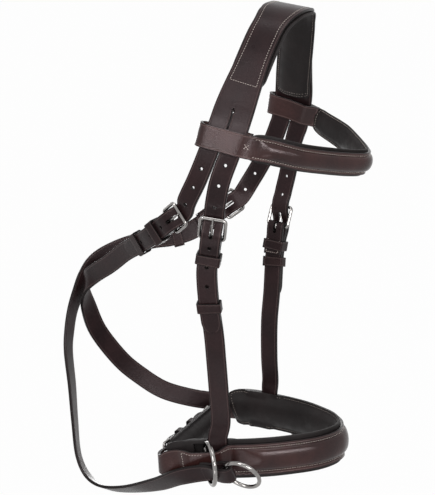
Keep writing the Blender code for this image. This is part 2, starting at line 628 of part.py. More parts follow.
def headpiece(crown, front, rear, forks):
    """The crown strap, slit at both forks into two billets, with its holes punched."""
    bm = bmesh.new()
    rows = []
    for station in stations(crown, eased([(forks[RIGHT], 0.0), (forks[LEFT], 0.0)])):
        rows.append([bm.verts.new(p) for p in ring_at(crown, station, crown_section(station[0]))])
    skin(bm, rows)
    billets = []
    for side, end in ((RIGHT, rows[0]), (LEFT, rows[-1])):
        bm.faces.new([end[i] for i in (1, 2, 5, 6)])
        bar = front[side].at(2, CHEEK_BAR_A[side])
        billets.append((front[side], [end[i] for i in (2, 3, 4, 5)], bar, front[side].at(2, CHEEK_TIP[side])))
        bar = rear[side].at(2, CROSS_BAR_A[side])
        billets.append((rear[side], [end[i] for i in (0, 1, 6, 7)], bar, bar + CROSS_TIP))
    for route, corners, bar, tip in billets:
        lead = [(FORK_LEAD + BILLET_FIRST, 0.0), (bar - CHAPE_RUN, 0.0)]
        path = eased(billet_places(bar, tip, 1, lead))
        rows = [corners]
        for station in stations(route, path):
            shape = flat_section(pointed(tip - station[0]), 0.0)
            rows.append([bm.verts.new(p) for p in ring_at(route, station, shape)])
        skin(bm, rows)
        bm.faces.new(rows[-1])
    body = add("headpiece_strap", bm, BROWN_LEATHER)
    for side, _ in SIDES:
        cut_hole(body, crown, forks[side], 0.0, SLIT_HOLE_RADIUS)
    for route, _, bar, tip in billets:
        cut_slot(body, route, bar + TONGUE_SLOT[0], bar + TONGUE_SLOT[1], -2 * LEATHER, 3 * LEATHER)
        for count in (-3, -2, -1, 1, 2, 3):
            place = bar + HOLE_START + count * HOLE_PITCH
            if FORK_LEAD + HOLE_MARGIN < place < tip - HOLE_MARGIN:
                cut_hole(body, route, place, 0.0 if count < 0 else LAYER)


def crown_pad(crown):
    """The soft pad under the crown, cut flat where it rests on the poll."""
    ends = [crown.at(2, CROWN_PAD_END[side], last=side == LEFT) for side, _ in SIDES]
    def width(s):
        return crown_width(s) + CROWN_PAD_MARGIN
    body = pad("crown_pad", crown, *ends, HALF + PAD_GAP, width, CROWN_PAD, 10 * MM)
    x, y = POLL_REST
    rest = Flat(Vector((0, 0, 0)), Vector((1, 0, 0)), Vector((0, 0, 1)))
    cut_away(body, prism(rest, [(-x, -y), (x, -y), (x, y), (-x, y)], -CROWN_PAD, 0.0))


def cheek(side, tag, route):
    """A cheekpiece with its buckle, keeper, runner and the chape folded round the buckle's bar."""
    bar_a = route.at(2, CHEEK_BAR_A[side])
    bar_b = bar_a + BUCKLE_PITCH
    piece = strap(f"cheekpiece_{tag}", route, fold_path(route.length(), bar_b, 1)[::-1])
    cut_slot(piece, route, bar_b - CHAPE_SLOT, bar_b + CHAPE_SLOT, -3 * LEATHER, 1.4 * LEATHER)
    buckle(f"cheek_{tag}", route, bar_a)
    keepers(f"cheek_{{}}_{tag}", route, bar_b + KEEPER_PLACE, route.at(2, RUNNER_HEIGHT))


def keepers(names, route, fixed, sliding):
    """The stitched keeper behind a buckle, and the runner that slides along the strap."""
    keeper(names.format("keeper"), route, fixed, -CHAPE_LAYER - HALF, LAYER + HALF)
    origin = route.place(sliding + KEEPER_LENGTH / 2, 0.0, 0.0)
    keeper(names.format("runner"), route, sliding, -HALF, LAYER + HALF, origin)


def cross_under(side, tag, route):
    """A cross-under strap: buckle end, and the far end folded round its rein ring."""
    bar_a = route.at(2, CROSS_BAR_A[side])
    bar_b = bar_a + BUCKLE_PITCH
    fold = route.at(0, REIN_FOLD_X, last=True)
    middle = bar_b + CHAPE_TAIL
    path = fold_path(middle, bar_b, 1)[::-1]
    path += fold_path(middle, fold, -1, REIN_FOLD_RADIUS, REIN_FOLD_LENGTH, REIN_TAIL)[1:]
    piece = strap(f"cross_under_strap_{tag}", route, path)
    cut_slot(piece, route, bar_b - CHAPE_SLOT, bar_b + CHAPE_SLOT, -3 * LEATHER, 1.4 * LEATHER)
    buckle(f"cross_under_{tag}", route, bar_a)
    keepers(f"cross_under_{{}}_{tag}", route, bar_b + KEEPER_PLACE, bar_b + CROSS_RUNNER_PLACE)
    _, along, across, out = route.frame(fold + REIN_RING_PLACE)
    hinge = route.place(fold + REIN_RING_PLACE, 0.0, BAR_B_OUT)
    swing = math.radians(REIN_RING_SWING[side])
    outward = math.cos(swing) * along + math.sin(swing) * out
    far = "left" if side == RIGHT else "right"
    ring(f"rein_ring_{far}", hinge, across, outward, REIN_RING_RADIUS, REIN_RING_WIRE)


def noseband(route):
    """The outer strap with its chin billets, its lining, the rings round it and the chin buckles."""
    total = route.length()
    ring_s = route.at(0, RING_X)
    def near(s):
        return min(s, total - s)
    def width(s):
        wide = BILLET_WIDTH + (NOSE_REAR_HEIGHT - BILLET_WIDTH) * ramp(near(s), CORNER, CORNER + REAR_WIDENS)
        start, end = TUNNEL_WIDENS_BACK
        wide -= (NOSE_REAR_HEIGHT - NOSE_TUNNEL_HEIGHT) * ramp(near(s), ring_s - end, ring_s - start)
        start, end = TUNNEL_WIDENS_FRONT
        wide += (NOSE_HEIGHT - NOSE_TUNNEL_HEIGHT) * ramp(near(s), ring_s + start, ring_s + end)
        return wide * pointed(near(s) - CHIN_TIP) / BILLET_WIDTH
    def rise(s):
        start, end = NOSE_RAISE_PLACE
        return NOSE_RAISE * ramp(near(s), ring_s + start, ring_s + end)
    lead = [(CORNER + CORNER_RUN, 0.0), (CORNER, CORNER_BULGE)]
    half = billet_places(CHIN_BAR_A, CHIN_TIP, -1, lead)[::-1]
    half += [(ring_s - TUNNEL_REACH - TUNNEL_RUN, 0.0), (ring_s - TUNNEL_REACH, TUNNEL_BULGE),
             (ring_s + TUNNEL_REACH, TUNNEL_BULGE), (ring_s + TUNNEL_REACH + TUNNEL_RUN, 0.0)]
    path = eased(half + [(total - s, n) for s, n in reversed(half)])
    body = strap("noseband_strap", route, path, width, raised_section, rise)
    lining = pad("noseband_lining", route, NOSE_LINING_START, total - NOSE_LINING_START, HALF + PAD_GAP,
                 lambda _: NOSE_PAD_HEIGHT, NOSE_PAD)
    reach, height = RING_GROOVE
    cheek_half = BILLET_WIDTH / 2 + 0.7 * MM
    for side, tag in SIDES:
        last = side == LEFT
        place = route.at(0, RING_X, last)
        cheek_at = route.at(0, CHEEK_X, last)
        cut_slot(lining, route, place - reach, place + reach, -TUNNEL_BULGE - 0.6 * MM, LEATHER, -height, height)
        cut_slot(lining, route, cheek_at - cheek_half, cheek_at + cheek_half, -CHEEK_LAYER - HALF - 2 * GAP,
                 LEATHER, CHEEK_END[-1] - 0.5 * MM, NOSE_PAD_HEIGHT)
        bar_a = total - CHIN_BAR_A if last else CHIN_BAR_A
        slot = sorted(bar_a + side * x for x in TONGUE_SLOT)
        cut_slot(body, route, *slot, -2 * LEATHER, 3 * LEATHER)
        buckle(f"chin_{tag}", route, bar_a, side)
        _, along, across, out = route.frame(place)
        hinge = route.place(place, NOSE_RING_RAISE[side], TUNNEL_BULGE - NOSE_RING_IN)
        swing = math.radians(NOSE_RING_SWING[side])
        outward = math.cos(swing) * out - side * math.sin(swing) * along
        ring(f"noseband_ring_{tag}", hinge, across, outward, NOSE_RING_RADIUS, NOSE_RING_WIRE)


def chin_strap(girth):
    """The strap behind the chin, folded round a buckle at both ends, and its soft pad."""
    loop = Looped(girth)
    bar_b = CHIN_BAR_A - BUCKLE_PITCH
    right = fold_path(0.0, bar_b, -1, tail=CHIN_TAIL)
    left = fold_path(0.0, -bar_b, 1, tail=CHIN_TAIL)
    body = strap("chin_strap", loop, right[::-1] + left[1:])
    for place in (bar_b, -bar_b):
        cut_slot(body, loop, place - CHAPE_SLOT, place + CHAPE_SLOT, -3 * LEATHER, 1.4 * LEATHER)
    for start, tag in ((CHIN_KEEPER, "right"), (-CHIN_KEEPER - KEEPER_LENGTH, "left")):
        keeper(f"chin_keeper_{tag}", loop, start, -CHAPE_LAYER - HALF, LAYER + HALF)
    pad("chin_pad", loop, -CHIN_PAD_REACH, CHIN_PAD_REACH, CHIN_PAD_BACK, lambda _: CHIN_PAD_HEIGHT,
        CHIN_PAD, 10 * MM)


def brow_height(x):
    for (x0, z0), (x1, z1) in zip(BROW_HEIGHTS, BROW_HEIGHTS[1:]):
        if x <= x1:
            return z0 + (z1 - z0) * (x - x0) / (x1 - x0), (z1 - z0) / (x1 - x0)
    raise ValueError("the browband doesn't reach that far forward")


def brow_route():
    """The browband's line, from the end of one loop round the front to the end of the other."""
    x, y, radius = BROW_TURN
    turn = [(x - radius * math.sin(math.radians(a)), y - radius * math.cos(math.radians(a))) for a in (45, 90, 135)]
    half = BROW_LOOP_TAIL + turn + BROW_PLAN
    points, across = [], []
    for x, y in [(x, -y) for x, y in half] + half[-2::-1]:
        height, slope = brow_height(x)
        roll = BROW_ROLL * ramp(x, *BROW_ROLL_X)
        points.append(Vector((x, y, height - roll * y)) * MM)
        lean = BROW_LEAN * (1 - ramp(x, *BROW_LEAN_X))
        across.append(Vector((-slope, roll + math.copysign(lean, -y), 1)))
    return Route(points, 1, across=across)


def browband(route):
    """The browband, raised in front and looped round the headpiece at both ends, and its lining."""
    length = route.length()
    start = route.at(0, BROW_LINING_X)
    low, high = BROW_RAISE_PLACE
    def rise(s):
        return BROW_RAISE * ramp(min(s, length - s), start + low, start + high)
    path = eased([(0.0, 0.0), (length, 0.0)])
    strap("browband_strap", route, path, lambda _: BROW_HEIGHT, raised_section, rise)
    pad("browband_lining", route, start, length - start, HALF + PAD_GAP, lambda _: BROW_PAD_HEIGHT, BROW_PAD)


def build():
    for obj in list(bpy.data.objects):
        bpy.data.objects.remove(obj)
    crown = crown_route()
    girth = girth_route()
    front, rear, forks = side_routes(crown, girth)
    headpiece(crown, front, rear, forks)
    crown_pad(crown)
    for side, tag in SIDES:
        cheek(side, tag, front[side])
        cross_under(side, tag, rear[side])
    noseband(girth)
    chin_strap(girth)
    browband(brow_route())


build()
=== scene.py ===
# %% [markdown]
# # A cross-under bitless bridle
# A saddler cuts every strap of a bridle flat, punches and sews it on the bench, and only
# then does it bend, round a buckle or over a head. This script works in the same order.
# Each strap is shaped as a flat strip, its holes are cut, its edges are rounded, and at
# the end its points are laid along the curve that the strap has on the horse.

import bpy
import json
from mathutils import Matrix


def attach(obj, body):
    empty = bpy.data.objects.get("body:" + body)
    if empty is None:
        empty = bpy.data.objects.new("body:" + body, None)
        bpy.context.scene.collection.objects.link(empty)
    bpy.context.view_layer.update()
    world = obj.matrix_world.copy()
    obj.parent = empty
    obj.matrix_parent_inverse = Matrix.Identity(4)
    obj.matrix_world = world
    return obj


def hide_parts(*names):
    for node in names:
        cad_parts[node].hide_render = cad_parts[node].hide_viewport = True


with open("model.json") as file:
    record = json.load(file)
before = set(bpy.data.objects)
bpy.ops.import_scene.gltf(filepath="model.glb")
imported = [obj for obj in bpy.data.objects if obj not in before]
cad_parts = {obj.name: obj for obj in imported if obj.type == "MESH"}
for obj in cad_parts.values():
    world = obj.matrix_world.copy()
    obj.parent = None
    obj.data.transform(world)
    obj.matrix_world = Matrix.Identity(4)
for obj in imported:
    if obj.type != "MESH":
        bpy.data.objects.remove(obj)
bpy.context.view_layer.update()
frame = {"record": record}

# %% Modules
import json
import math
from bisect import bisect_right

import bpy
from mathutils import Vector

MM = 0.001
RIGHT, LEFT = -1, 1
SIDES = ((RIGHT, "right"), (LEFT, "left"))
print("Blender", bpy.app.version_string)

# %% [markdown]
# ## Camera
# The photograph was taken from the horse's right, a little from the front and from above,
# with a long lens. A long lens far away keeps the near and far sides nearly the same size.

# %% Camera
AZIMUTH, ELEVATION = math.radians(22.39), math.radians(14.77)
LOOKS_AT = Vector((-0.0728, 0.0, -0.2335))
DISTANCE = 1.6005
FOCAL_PIXELS, PICTURE_HEIGHT, SENSOR = 1605.3, 495, 36.0

camera = bpy.data.objects.new("camera", bpy.data.cameras.new("camera"))
bpy.context.scene.collection.objects.link(camera)
back = Vector((math.sin(AZIMUTH) * math.cos(ELEVATION), -math.cos(AZIMUTH) * math.cos(ELEVATION),
               math.sin(ELEVATION)))
camera.location = LOOKS_AT + DISTANCE * back
camera.rotation_euler = back.to_track_quat("Z", "Y").to_euler()
camera.data.sensor_width = SENSOR
camera.data.lens = FOCAL_PIXELS / PICTURE_HEIGHT * SENSOR
camera.data.clip_end = 100
bpy.context.scene.camera = camera
print("lens", round(camera.data.lens, 1), "mm")

# %% [markdown]
# ## Materials
# A material starts from what the real one is. Two small helpers do all the wiring: one
# turns a written colour into the linear numbers that the renderer works in, and one adds
# a node with its settings and links.

# %% Colour and node helpers
def colour(written):
    """The linear colour of an sRGB hex value."""
    channels = [int(written[i:i + 2], 16) / 255 for i in (1, 3, 5)]
    return (*[c / 12.92 if c <= 0.04045 else ((c + 0.055) / 1.055) ** 2.4 for c in channels], 1.0)


def node(tree, kind, settings=None, **links):
    """Adds a node. Settings are its properties, and links are values or sockets for its inputs."""
    made = tree.nodes.new(kind)
    for name, value in (settings or {}).items():
        setattr(made, name, value)
    for name, value in links.items():
        key = int(name[1:]) if name[0] == "i" and name[1:].isdigit() else name.replace("_", " ")
        if isinstance(value, bpy.types.NodeSocket):
            tree.links.new(value, made.inputs[key])
        else:
            made.inputs[key].default_value = value
    return made


def new_material(name):
    """A material with its tree, its shader and the piece's own coordinates in metres."""
    made = bpy.data.materials.new(name)
    made.use_nodes = True
    tree = made.node_tree
    return made, tree, tree.nodes["Principled BSDF"], node(tree, "ShaderNodeTexCoord").outputs["Object"]


print("sRGB grey #808080 is", round(colour("#808080")[0], 3), "in linear light")

# %% [markdown]
# The finishes share five steps: uneven noise, a colour between two others, a sum, one range
# of values drawn out to another, and a band that is made of those. Each gets a short name.

# %% Helpers for what the finishes share
def noise(tree, where, scale, detail, distortion=0.0):
    """Soft uneven patches between 0 and 1, counted per metre."""
    return node(tree, "ShaderNodeTexNoise", Vector=where, Scale=scale, Detail=detail,
                Distortion=distortion).outputs[0]


def blend(tree, share, first, second):
    """A colour between two others."""
    return node(tree, "ShaderNodeMix", {"data_type": "RGBA"}, i0=share, i6=first, i7=second).outputs[2]


def maths(tree, operation, *values):
    """One sum of values or sockets."""
    return node(tree, "ShaderNodeMath", {"operation": operation},
                **{f"i{i}": value for i, value in enumerate(values)}).outputs[0]


def remap(tree, value, low, high, first=0.0, last=1.0, kind="LINEAR"):
    """A value's own range from low to high, drawn out to first to last."""
    return node(tree, "ShaderNodeMapRange", {"interpolation_type": kind}, Value=value, From_Min=low, From_Max=high,
                To_Min=first, To_Max=last).outputs[0]


def band(tree, value, low, high, soft):
    """1 between two values and 0 outside them, with soft sides."""
    up = remap(tree, value, low - soft, low, kind="SMOOTHSTEP")
    down = remap(tree, value, high, high + soft, 1.0, 0.0, "SMOOTHSTEP")
    return maths(tree, "MULTIPLY", up, down)


print("noise seldom leaves 0.3 to 0.7, so the finishes draw that range out")

# %% [markdown]
# ### Bridle leather
# Bridle leather is vegetable-tanned hide, dyed through and filled with wax and grease. It
# has a fine pore pattern, a soft sheen where it is handled, and slightly uneven colour. Its
# cut edges are inked black and polished, and a hot tool presses a thin line beside them.
# Every strap carries its distance from the edge in its UV map, so the shader can ink the
# edge, press the line and paint a pale sheen along it wherever the strap goes. That pale
# line is a painted highlight, standing in for the light that the crease catches.

# %% Bridle leather
CREASE = (1.55 * MM, 1.95 * MM)  # where the edge tool presses its line, from the edge
# The line's shine is painted into its colour: a paler painted highlight mixed in along the crease.
CREASE_SOFT, CREASE_SHEEN = 0.3 * MM, 0.35  # how softly that line ends, and how strongly it shines
INK, INK_ENDS = "#131010", (0.1 * MM, 0.8 * MM)  # the ink of cut edges, and where it fades out
POLISH = "#fff0f2"  # wax on red-brown dye mirrors the lamps a little rosily

# Patterns are counted per metre. The dye clouds every 36 mm, and bundles of fibres lie 2.4 mm
# apart. Real pores lie 0.2 mm apart, too fine to show, so they are drawn 0.8 mm apart.
CLOUDS, FIBRES, PORES = 28.0, 420.0, 1300.0


def bridle_leather(name, body, deep, sheen_line, roughness, shine, crease=CREASE):
    """Two shades of dye, pores and fibres, the pressed line with a painted sheen along it, and edges inked black.
    """
    made, tree, shader, where = new_material(name)
    flat = node(tree, "ShaderNodeUVMap", {"uv_map": "flat"})
    edge = node(tree, "ShaderNodeSeparateXYZ", Vector=flat.outputs[0]).outputs["Y"]
    clouds = noise(tree, where, CLOUDS, 3.0)
    fibres = noise(tree, where, FIBRES, 2.0)
    pores = node(tree, "ShaderNodeTexVoronoi", {"feature": "F1"}, Vector=where, Scale=PORES).outputs[0]
    dyed = blend(tree, remap(tree, clouds, 0.35, 0.65), colour(deep), colour(body))
    speck = remap(tree, fibres, 0.3, 0.75, 0.85, 1.12)
    worn = node(tree, "ShaderNodeVectorMath", {"operation": "SCALE"}, i0=dyed, Scale=speck).outputs[0]
    pressed = band(tree, edge, *crease, CREASE_SOFT)
    # Along the pressed line the colour is painted paler, a painted sheen standing in for the light on the crease.
    painted_sheen = blend(tree, maths(tree, "MULTIPLY", pressed, CREASE_SHEEN), worn, colour(sheen_line))
    inked = blend(tree, remap(tree, edge, *INK_ENDS, kind="SMOOTHSTEP"), colour(INK), painted_sheen)
    tree.links.new(inked, shader.inputs["Base Color"])
    gloss = remap(tree, clouds, 0.3, 0.7, roughness - 0.06, roughness + 0.08)
    tree.links.new(gloss, shader.inputs["Roughness"])
    grain = maths(tree, "MULTIPLY_ADD", fibres, 0.5, pores)
    relief = maths(tree, "MULTIPLY_ADD", pressed, -1.6, grain)
    bump = node(tree, "ShaderNodeBump", Height=relief, Strength=0.35, Distance=0.2 * MM)
    tree.links.new(bump.outputs[0], shader.inputs["Normal"])
    shader.inputs["IOR"].default_value = 1.5
    shader.inputs["Specular IOR Level"].default_value = shine
    shader.inputs["Specular Tint"].default_value = colour(POLISH)
    return made


# The bands are polished harder than the plain straps, so they are redder and glossier, and the
# painted sheen along their line is paler. A keeper is so narrow that its line lies close to its edge.
STRAP_LEATHER = bridle_leather("waxed bridle leather, havana", "#241718", "#1a1112", "#5f4f4d", 0.32, 0.16)
BAND_LEATHER = bridle_leather("waxed bridle leather, raised band", "#341e1c", "#251615", "#6f5b57", 0.20, 0.33)
KEEPER_LEATHER = bridle_leather("waxed bridle leather, keepers", "#271919", "#1c1213", "#5f4f4d", 0.32,
                                0.16, (0.9 * MM, 1.3 * MM))
print("leathers:", STRAP_LEATHER.name, "|", BAND_LEATHER.name, "|", KEEPER_LEATHER.name)

# %% [markdown]
# ### Lining leather
# The pads are covered with thin, soft leather, tanned with chrome so that it stays supple
# and dyed black. It shows a pebbled grain, little gloss, and fine creases where the pad bends.

# %% Lining leather
# The grain's pebbles lie 1.1 mm apart, its creases 7 mm, and the dye clouds every 29 mm.
PEBBLES, CREASES, LINING_CLOUDS = 900.0, 150.0, 35.0


def lining_leather(name):
    """Near-black leather whose pebbles and creases catch a little light."""
    made, tree, shader, where = new_material(name)
    clouds = noise(tree, where, LINING_CLOUDS, 3.0)
    pebbles = node(tree, "ShaderNodeTexVoronoi", {"feature": "SMOOTH_F1"}, Vector=where, Scale=PEBBLES).outputs[0]
    creases = noise(tree, where, CREASES, 4.0, 0.6)
    dyed = blend(tree, remap(tree, clouds, 0.35, 0.65), colour("#171313"), colour("#1e1919"))
    tree.links.new(dyed, shader.inputs["Base Color"])
    tree.links.new(remap(tree, creases, 0.3, 0.7, 0.48, 0.62), shader.inputs["Roughness"])
    relief = maths(tree, "MULTIPLY_ADD", creases, 2.2, pebbles)
    bump = node(tree, "ShaderNodeBump", Height=relief, Strength=0.3, Distance=0.3 * MM)
    tree.links.new(bump.outputs[0], shader.inputs["Normal"])
    shader.inputs["Specular IOR Level"].default_value = 0.2
    return made


LINING = lining_leather("soft chrome-tanned lining leather, black")
print("lining:", LINING.name)

# %% [markdown]
# ### Thread and steel
# The seams are waxed thread, a pale beige that has taken a little dye. The buckles and
# rings are stainless steel, formed from wire and tumbled bright, so they mirror the room
# with only a faint haze.

# %% Thread and steel
TWIST = 600.0  # a shade every 1.7 mm, coarser than the thread's real twist, which is too fine to show
HAZE = 180.0  # the tumbling's haze changes every 5.5 mm


def waxed_thread(name, dark, pale):
    """Matt thread, darker in some stitches than in others."""
    made, tree, shader, where = new_material(name)
    tone = blend(tree, noise(tree, where, TWIST, 1.0), colour(dark), colour(pale))
    tree.links.new(tone, shader.inputs["Base Color"])
    shader.inputs["Roughness"].default_value = 0.6
    return made


def tumbled_steel(name):
    """A metal that mirrors the lamps brightly and the room in a soft grey."""
    made, tree, shader, where = new_material(name)
    haze = noise(tree, where, HAZE, 3.0)
    tree.links.new(blend(tree, haze, colour("#7b7876"), colour("#9b9896")), shader.inputs["Base Color"])
    tree.links.new(remap(tree, haze, 0.3, 0.7, 0.12, 0.20), shader.inputs["Roughness"])
    shader.inputs["Metallic"].default_value = 1.0
    return made


THREAD = waxed_thread("waxed linen thread, beige", "#a0938c", "#d0c5bc")
LINING_THREAD = waxed_thread("waxed linen thread, in the lining", "#6e645f", "#a1968f")
DARK_THREAD = waxed_thread("waxed linen thread, dark brown", "#2b2020", "#3d3030")
STEEL = tumbled_steel("stainless steel, tumbled bright")
print("materials:", len(bpy.data.materials))

# %% [markdown]
# ## The straps' routes
# A strap's route is a smooth curve in space, with a direction across the strap and one
# outward from the head at every point. The numbers are the CAD model's own, in
# millimetres, because every piece has to lie exactly on its solid.

# %% Smooth curves
def mm(points, side=1):
    """Millimetre points as metres, mirrored to one side."""
    return [Vector((x, side * y, z)) * MM for x, y, z in points]


def spline(points, per_span=12):
    """Points of a smooth curve through the given vectors."""
    ends = [2 * points[0] - points[1], *points, 2 * points[-1] - points[-2]]
    curve = []
    for a, b, c, d in zip(ends, ends[1:], ends[2:], ends[3:]):
        for i in range(per_span):
            t = i / per_span
            curve.append(0.5 * (2 * b + (c - a) * t + (2 * a - 5 * b + 4 * c - d) * t**2
                                + (3 * b - 3 * c + d - a) * t**3))
    curve.append(points[-1].copy())
    return curve


def lengths(points):
    """Distance along a row of points, from its first one."""
    run = [0.0]
    for a, b in zip(points, points[1:]):
        run.append(run[-1] + (b - a).length)
    return run


def ramp(value, low, high):
    """0 below low, 1 above high, smooth between."""
    t = min(max((value - low) / (high - low), 0.0), 1.0)
    return t * t * (3 - 2 * t)


print("12 places to a span:", len(spline(mm([(0, 0, 0), (1, 0, 0), (2, 1, 0)]))), "points through three")

# %% A strap's route
class Route:
    """A smooth line in space with a sideways and an outward direction all along it."""

    def __init__(self, points, hand, across=None, out=None):
        self.points = spline(points)
        self.run = lengths(self.points)
        self.frames = []
        last = len(self.points) - 1
        for i, guide in enumerate(spline(across or out)):
            along = (self.points[min(i + 1, last)] - self.points[max(i - 1, 0)]).normalized()
            flat = (guide - guide.dot(along) * along).normalized()
            if across:
                self.frames.append((along, flat, hand * along.cross(flat)))
            else:
                self.frames.append((along, hand * flat.cross(along), flat))
        self.zero = 0.0
        self.closed = False

    def length(self):
        return self.run[-1] - self.zero

    def frame(self, s):
        """Point, along, across and outward at a distance s along the route."""
        if self.closed and s < 0:
            s += self.length()
        at = s + self.zero
        i = min(max(bisect_right(self.run, at) - 1, 0), len(self.run) - 2)
        t = (at - self.run[i]) / (self.run[i + 1] - self.run[i])
        point = self.points[i].lerp(self.points[i + 1], t)
        share = min(max(t, 0.0), 1.0)
        return point, *[a.lerp(b, share).normalized() for a, b in zip(self.frames[i], self.frames[i + 1])]

    def place(self, s, w, n):
        point, _, across, out = self.frame(s)
        return point + w * across + n * out

    def at(self, axis, value, last=False):
        """Distance along the route at which a coordinate first, or last, passes a value."""
        found = []
        for i, (a, b) in enumerate(zip(self.points, self.points[1:])):
            if (a[axis] - value) * (b[axis] - value) <= 0 and a[axis] != b[axis]:
                t = (value - a[axis]) / (b[axis] - a[axis])
                found.append(self.run[i] + t * (self.run[i + 1] - self.run[i]) - self.zero)
        return found[-1] if last else found[0]


# %% The CAD model's sizes
GAP, PAD_GAP, PATH_STEP = 0.3 * MM, 0.5 * MM, 2 * MM
LEATHER = 3.0 * MM
HALF = LEATHER / 2
LAYER = LEATHER + GAP  # from one strap's middle to the next one's that lies on it
CHAPE_LAYER = LEATHER + 0.4 * MM  # from a strap's middle to its own folded end's
BILLET_WIDTH = 19.4 * MM
SLIT = 0.6 * MM
CROWN_WIDTH = 2 * BILLET_WIDTH + SLIT
CROWN_WAIST = 8.0 * MM  # how much narrower the crown is behind the ears
BILLET_SHIFT = (BILLET_WIDTH + SLIT) / 2
HOLE_PITCH = 20.0 * MM
HOLE_START = 8.0 * MM  # from bar A to the hole in use
HOLE_MARGIN = 12.0 * MM  # from a strap's end or fork to its nearest hole
TIP = 12 * MM  # length of a strap's rounded point
FORK_LEAD = 14 * MM  # how far the billets' routes start above the fork
CHEEK_LAYER = LEATHER + 0.9 * MM  # from the noseband's middle in to a cheek's end

# Bands and pads
CROWN_PAD = 7.3 * MM
CROWN_PAD_MARGIN = 4.1 * MM  # how much wider the pad is than the crown
BROW_HEIGHT = 22 * MM
BROW_PAD = 5.0 * MM
BROW_PAD_HEIGHT = 26.5 * MM
BROW_RAISE = 4.2 * MM
NOSE_HEIGHT = 32 * MM
NOSE_TUNNEL_HEIGHT = 22 * MM
NOSE_REAR_HEIGHT = 26 * MM
NOSE_PAD = 9.0 * MM
NOSE_PAD_HEIGHT = 40 * MM
NOSE_RAISE = 4.5 * MM
NOSE_RAISE_PLACE = (34 * MM, 58 * MM)  # where the strap rises, from the ring forward
CHIN_PAD = 12.0 * MM
CHIN_PAD_HEIGHT = 38 * MM
CHIN_PAD_REACH = 66 * MM  # each way from the chin's middle

# Buckles: bar A is the free one that the tongue rests on, bar B carries tongue and chape
BUCKLE_WIRE = 1.7 * MM
BUCKLE_PITCH = 21.0 * MM
BUCKLE_HALF_WIDTH = BILLET_WIDTH / 2 + 0.6 * MM + BUCKLE_WIRE
BUCKLE_CORNER = 3.0 * MM
BAR_A_OUT = 1.6 * MM
BAR_B_OUT = -CHAPE_LAYER / 2
TONGUE_WIRE = 1.2 * MM
TONGUE_CURL = BUCKLE_WIRE + GAP + TONGUE_WIRE
TONGUE_OVERHANG = 2.6 * MM
TONGUE_SLOT = (6.0 * MM, 18.5 * MM)  # along the billet, from bar A
SLOT_HALF_WIDTH = TONGUE_WIRE + 0.7 * MM
CHAPE_SLOT = 7.5 * MM  # each way along the chape, from bar B
CHAPE_TAIL = 30 * MM
CHAPE_RUN = 14 * MM  # from bar B to where the two layers lie together
FOLD_RADIUS = BUCKLE_WIRE + GAP + HALF
BILLET_UNDER_A = BAR_A_OUT - BUCKLE_WIRE - 0.5 * MM - HALF
BILLET_OVER_B = BAR_B_OUT + FOLD_RADIUS + LAYER

# Keepers
KEEPER = 1.6 * MM
KEEPER_LENGTH = 10.0 * MM
KEEPER_GAP = 0.5 * MM  # air inside a keeper, which the straps' bend needs
KEEPER_PLACE = 15.0 * MM  # from bar B
CROSS_RUNNER_PLACE = 50.0 * MM  # from bar B
CHIN_PAD_BACK = CHAPE_LAYER + HALF + KEEPER_GAP + KEEPER + GAP

# Rings
NOSE_RING_RADIUS = 20.3 * MM
NOSE_RING_WIRE = 2.2 * MM
NOSE_RING_IN = 10.0 * MM  # from the bulged strap's middle in to the ring's inner arc
TUNNEL_BULGE = 6.5 * MM
TUNNEL_REACH = 12 * MM
TUNNEL_RUN = 15 * MM
TUNNEL_WIDENS_BACK = (10 * MM, 18 * MM)  # from the ring back to the rear width
TUNNEL_WIDENS_FRONT = (10 * MM, 24 * MM)  # from the ring forward to the full width
RING_GROOVE = (9 * MM, 16 * MM)
REIN_RING_RADIUS = 17.8 * MM
REIN_RING_WIRE = 2.0 * MM
REIN_FOLD_RADIUS = REIN_RING_WIRE + 1.3 * MM + HALF
REIN_FOLD_LENGTH = 5.0 * MM
REIN_RING_PLACE = 2.5 * MM  # along the fold's straight part
REIN_TAIL = 22 * MM
print("billets", round(BILLET_WIDTH / MM, 1), "mm wide, leather", round(LEATHER / MM, 1), "mm thick")

# %% [markdown]
# The routes are lists of points, in millimetres. The sideways value is counted outward
# from the middle plane, so that one list can serve either side.

# %% The CAD model's routes
CROWN_LINE = [(0, 0, 8.6), (-1, 17, 7.2), (-2.8, 32, 1.2), (-5.9, 43.5, -9), (-10.7, 55, -27), (-16, 66, -48),
              (-21.2, 77, -70), (-25.5, 87.5, -92), (-31, 94, -116), (-38, 97, -142)]
CROWN_ACROSS = Vector((1, 0, -0.14))
CROWN_WAIST_PLACE = (12 * MM, 45 * MM, 66 * MM, 140 * MM)  # narrowing and widening again, from the poll
UNDER_BROWBAND = (-21.6, 94.3, -117)
UPPER_CHEEK_LINE = {
    RIGHT: [(-29.5, 99, -142), (-33.4, 101, -164), (-36.2, 99.2, -181), (-39, 97.4, -198), (-41.9, 95.5, -215),
            (-44.7, 93.7, -232), (-45.3, 87.5, -262)],
    LEFT: [(-29.5, 99, -142), (-35, 100.5, -172), (-39.6, 98.6, -195), (-41.1, 95.9, -212), (-42.6, 93.2, -229),
           (-44.2, 90.5, -246), (-45.6, 87.9, -262)],
}
LOWER_CHEEK_LINE = [(-44, 79, -297), (-44, 72.5, -328), (-42.5, 69, -365), (-41, 69, -390)]
CHEEK_TURN = 0.24  # how much the cheeks face forward
REAR_UNDER_BROWBAND = (-42.4, 94.3, -115)
RIGHT_CROSS_LINE = [(-52.5, 98, -142), (-63.5, 95.5, -163), (-69.5, 92.8, -175.7), (-80, 88.1, -183.8),
                    (-88.1, 84.5, -190.1), (-94.1, 81.8, -194.7), (-109.8, 74.8, -206.9), (-131, 59, -221),
                    (-155, 42, -236), (-180, 26, -255), (-203, 13, -270.5), (-215, 7, -281), (-221, 1, -297),
                    (-222, -7, -314), (-217.7, -20, -344), (-201, -37, -378), (-183, -48, -398),
                    (-159, -58, -415), (-130, -72, -425), (-104, -86, -430), (-78, -94, -432.5),
                    (-52, -95.5, -433.5), (-36, -95, -437), (-18, -94.5, -442), (-6, -94, -445)]
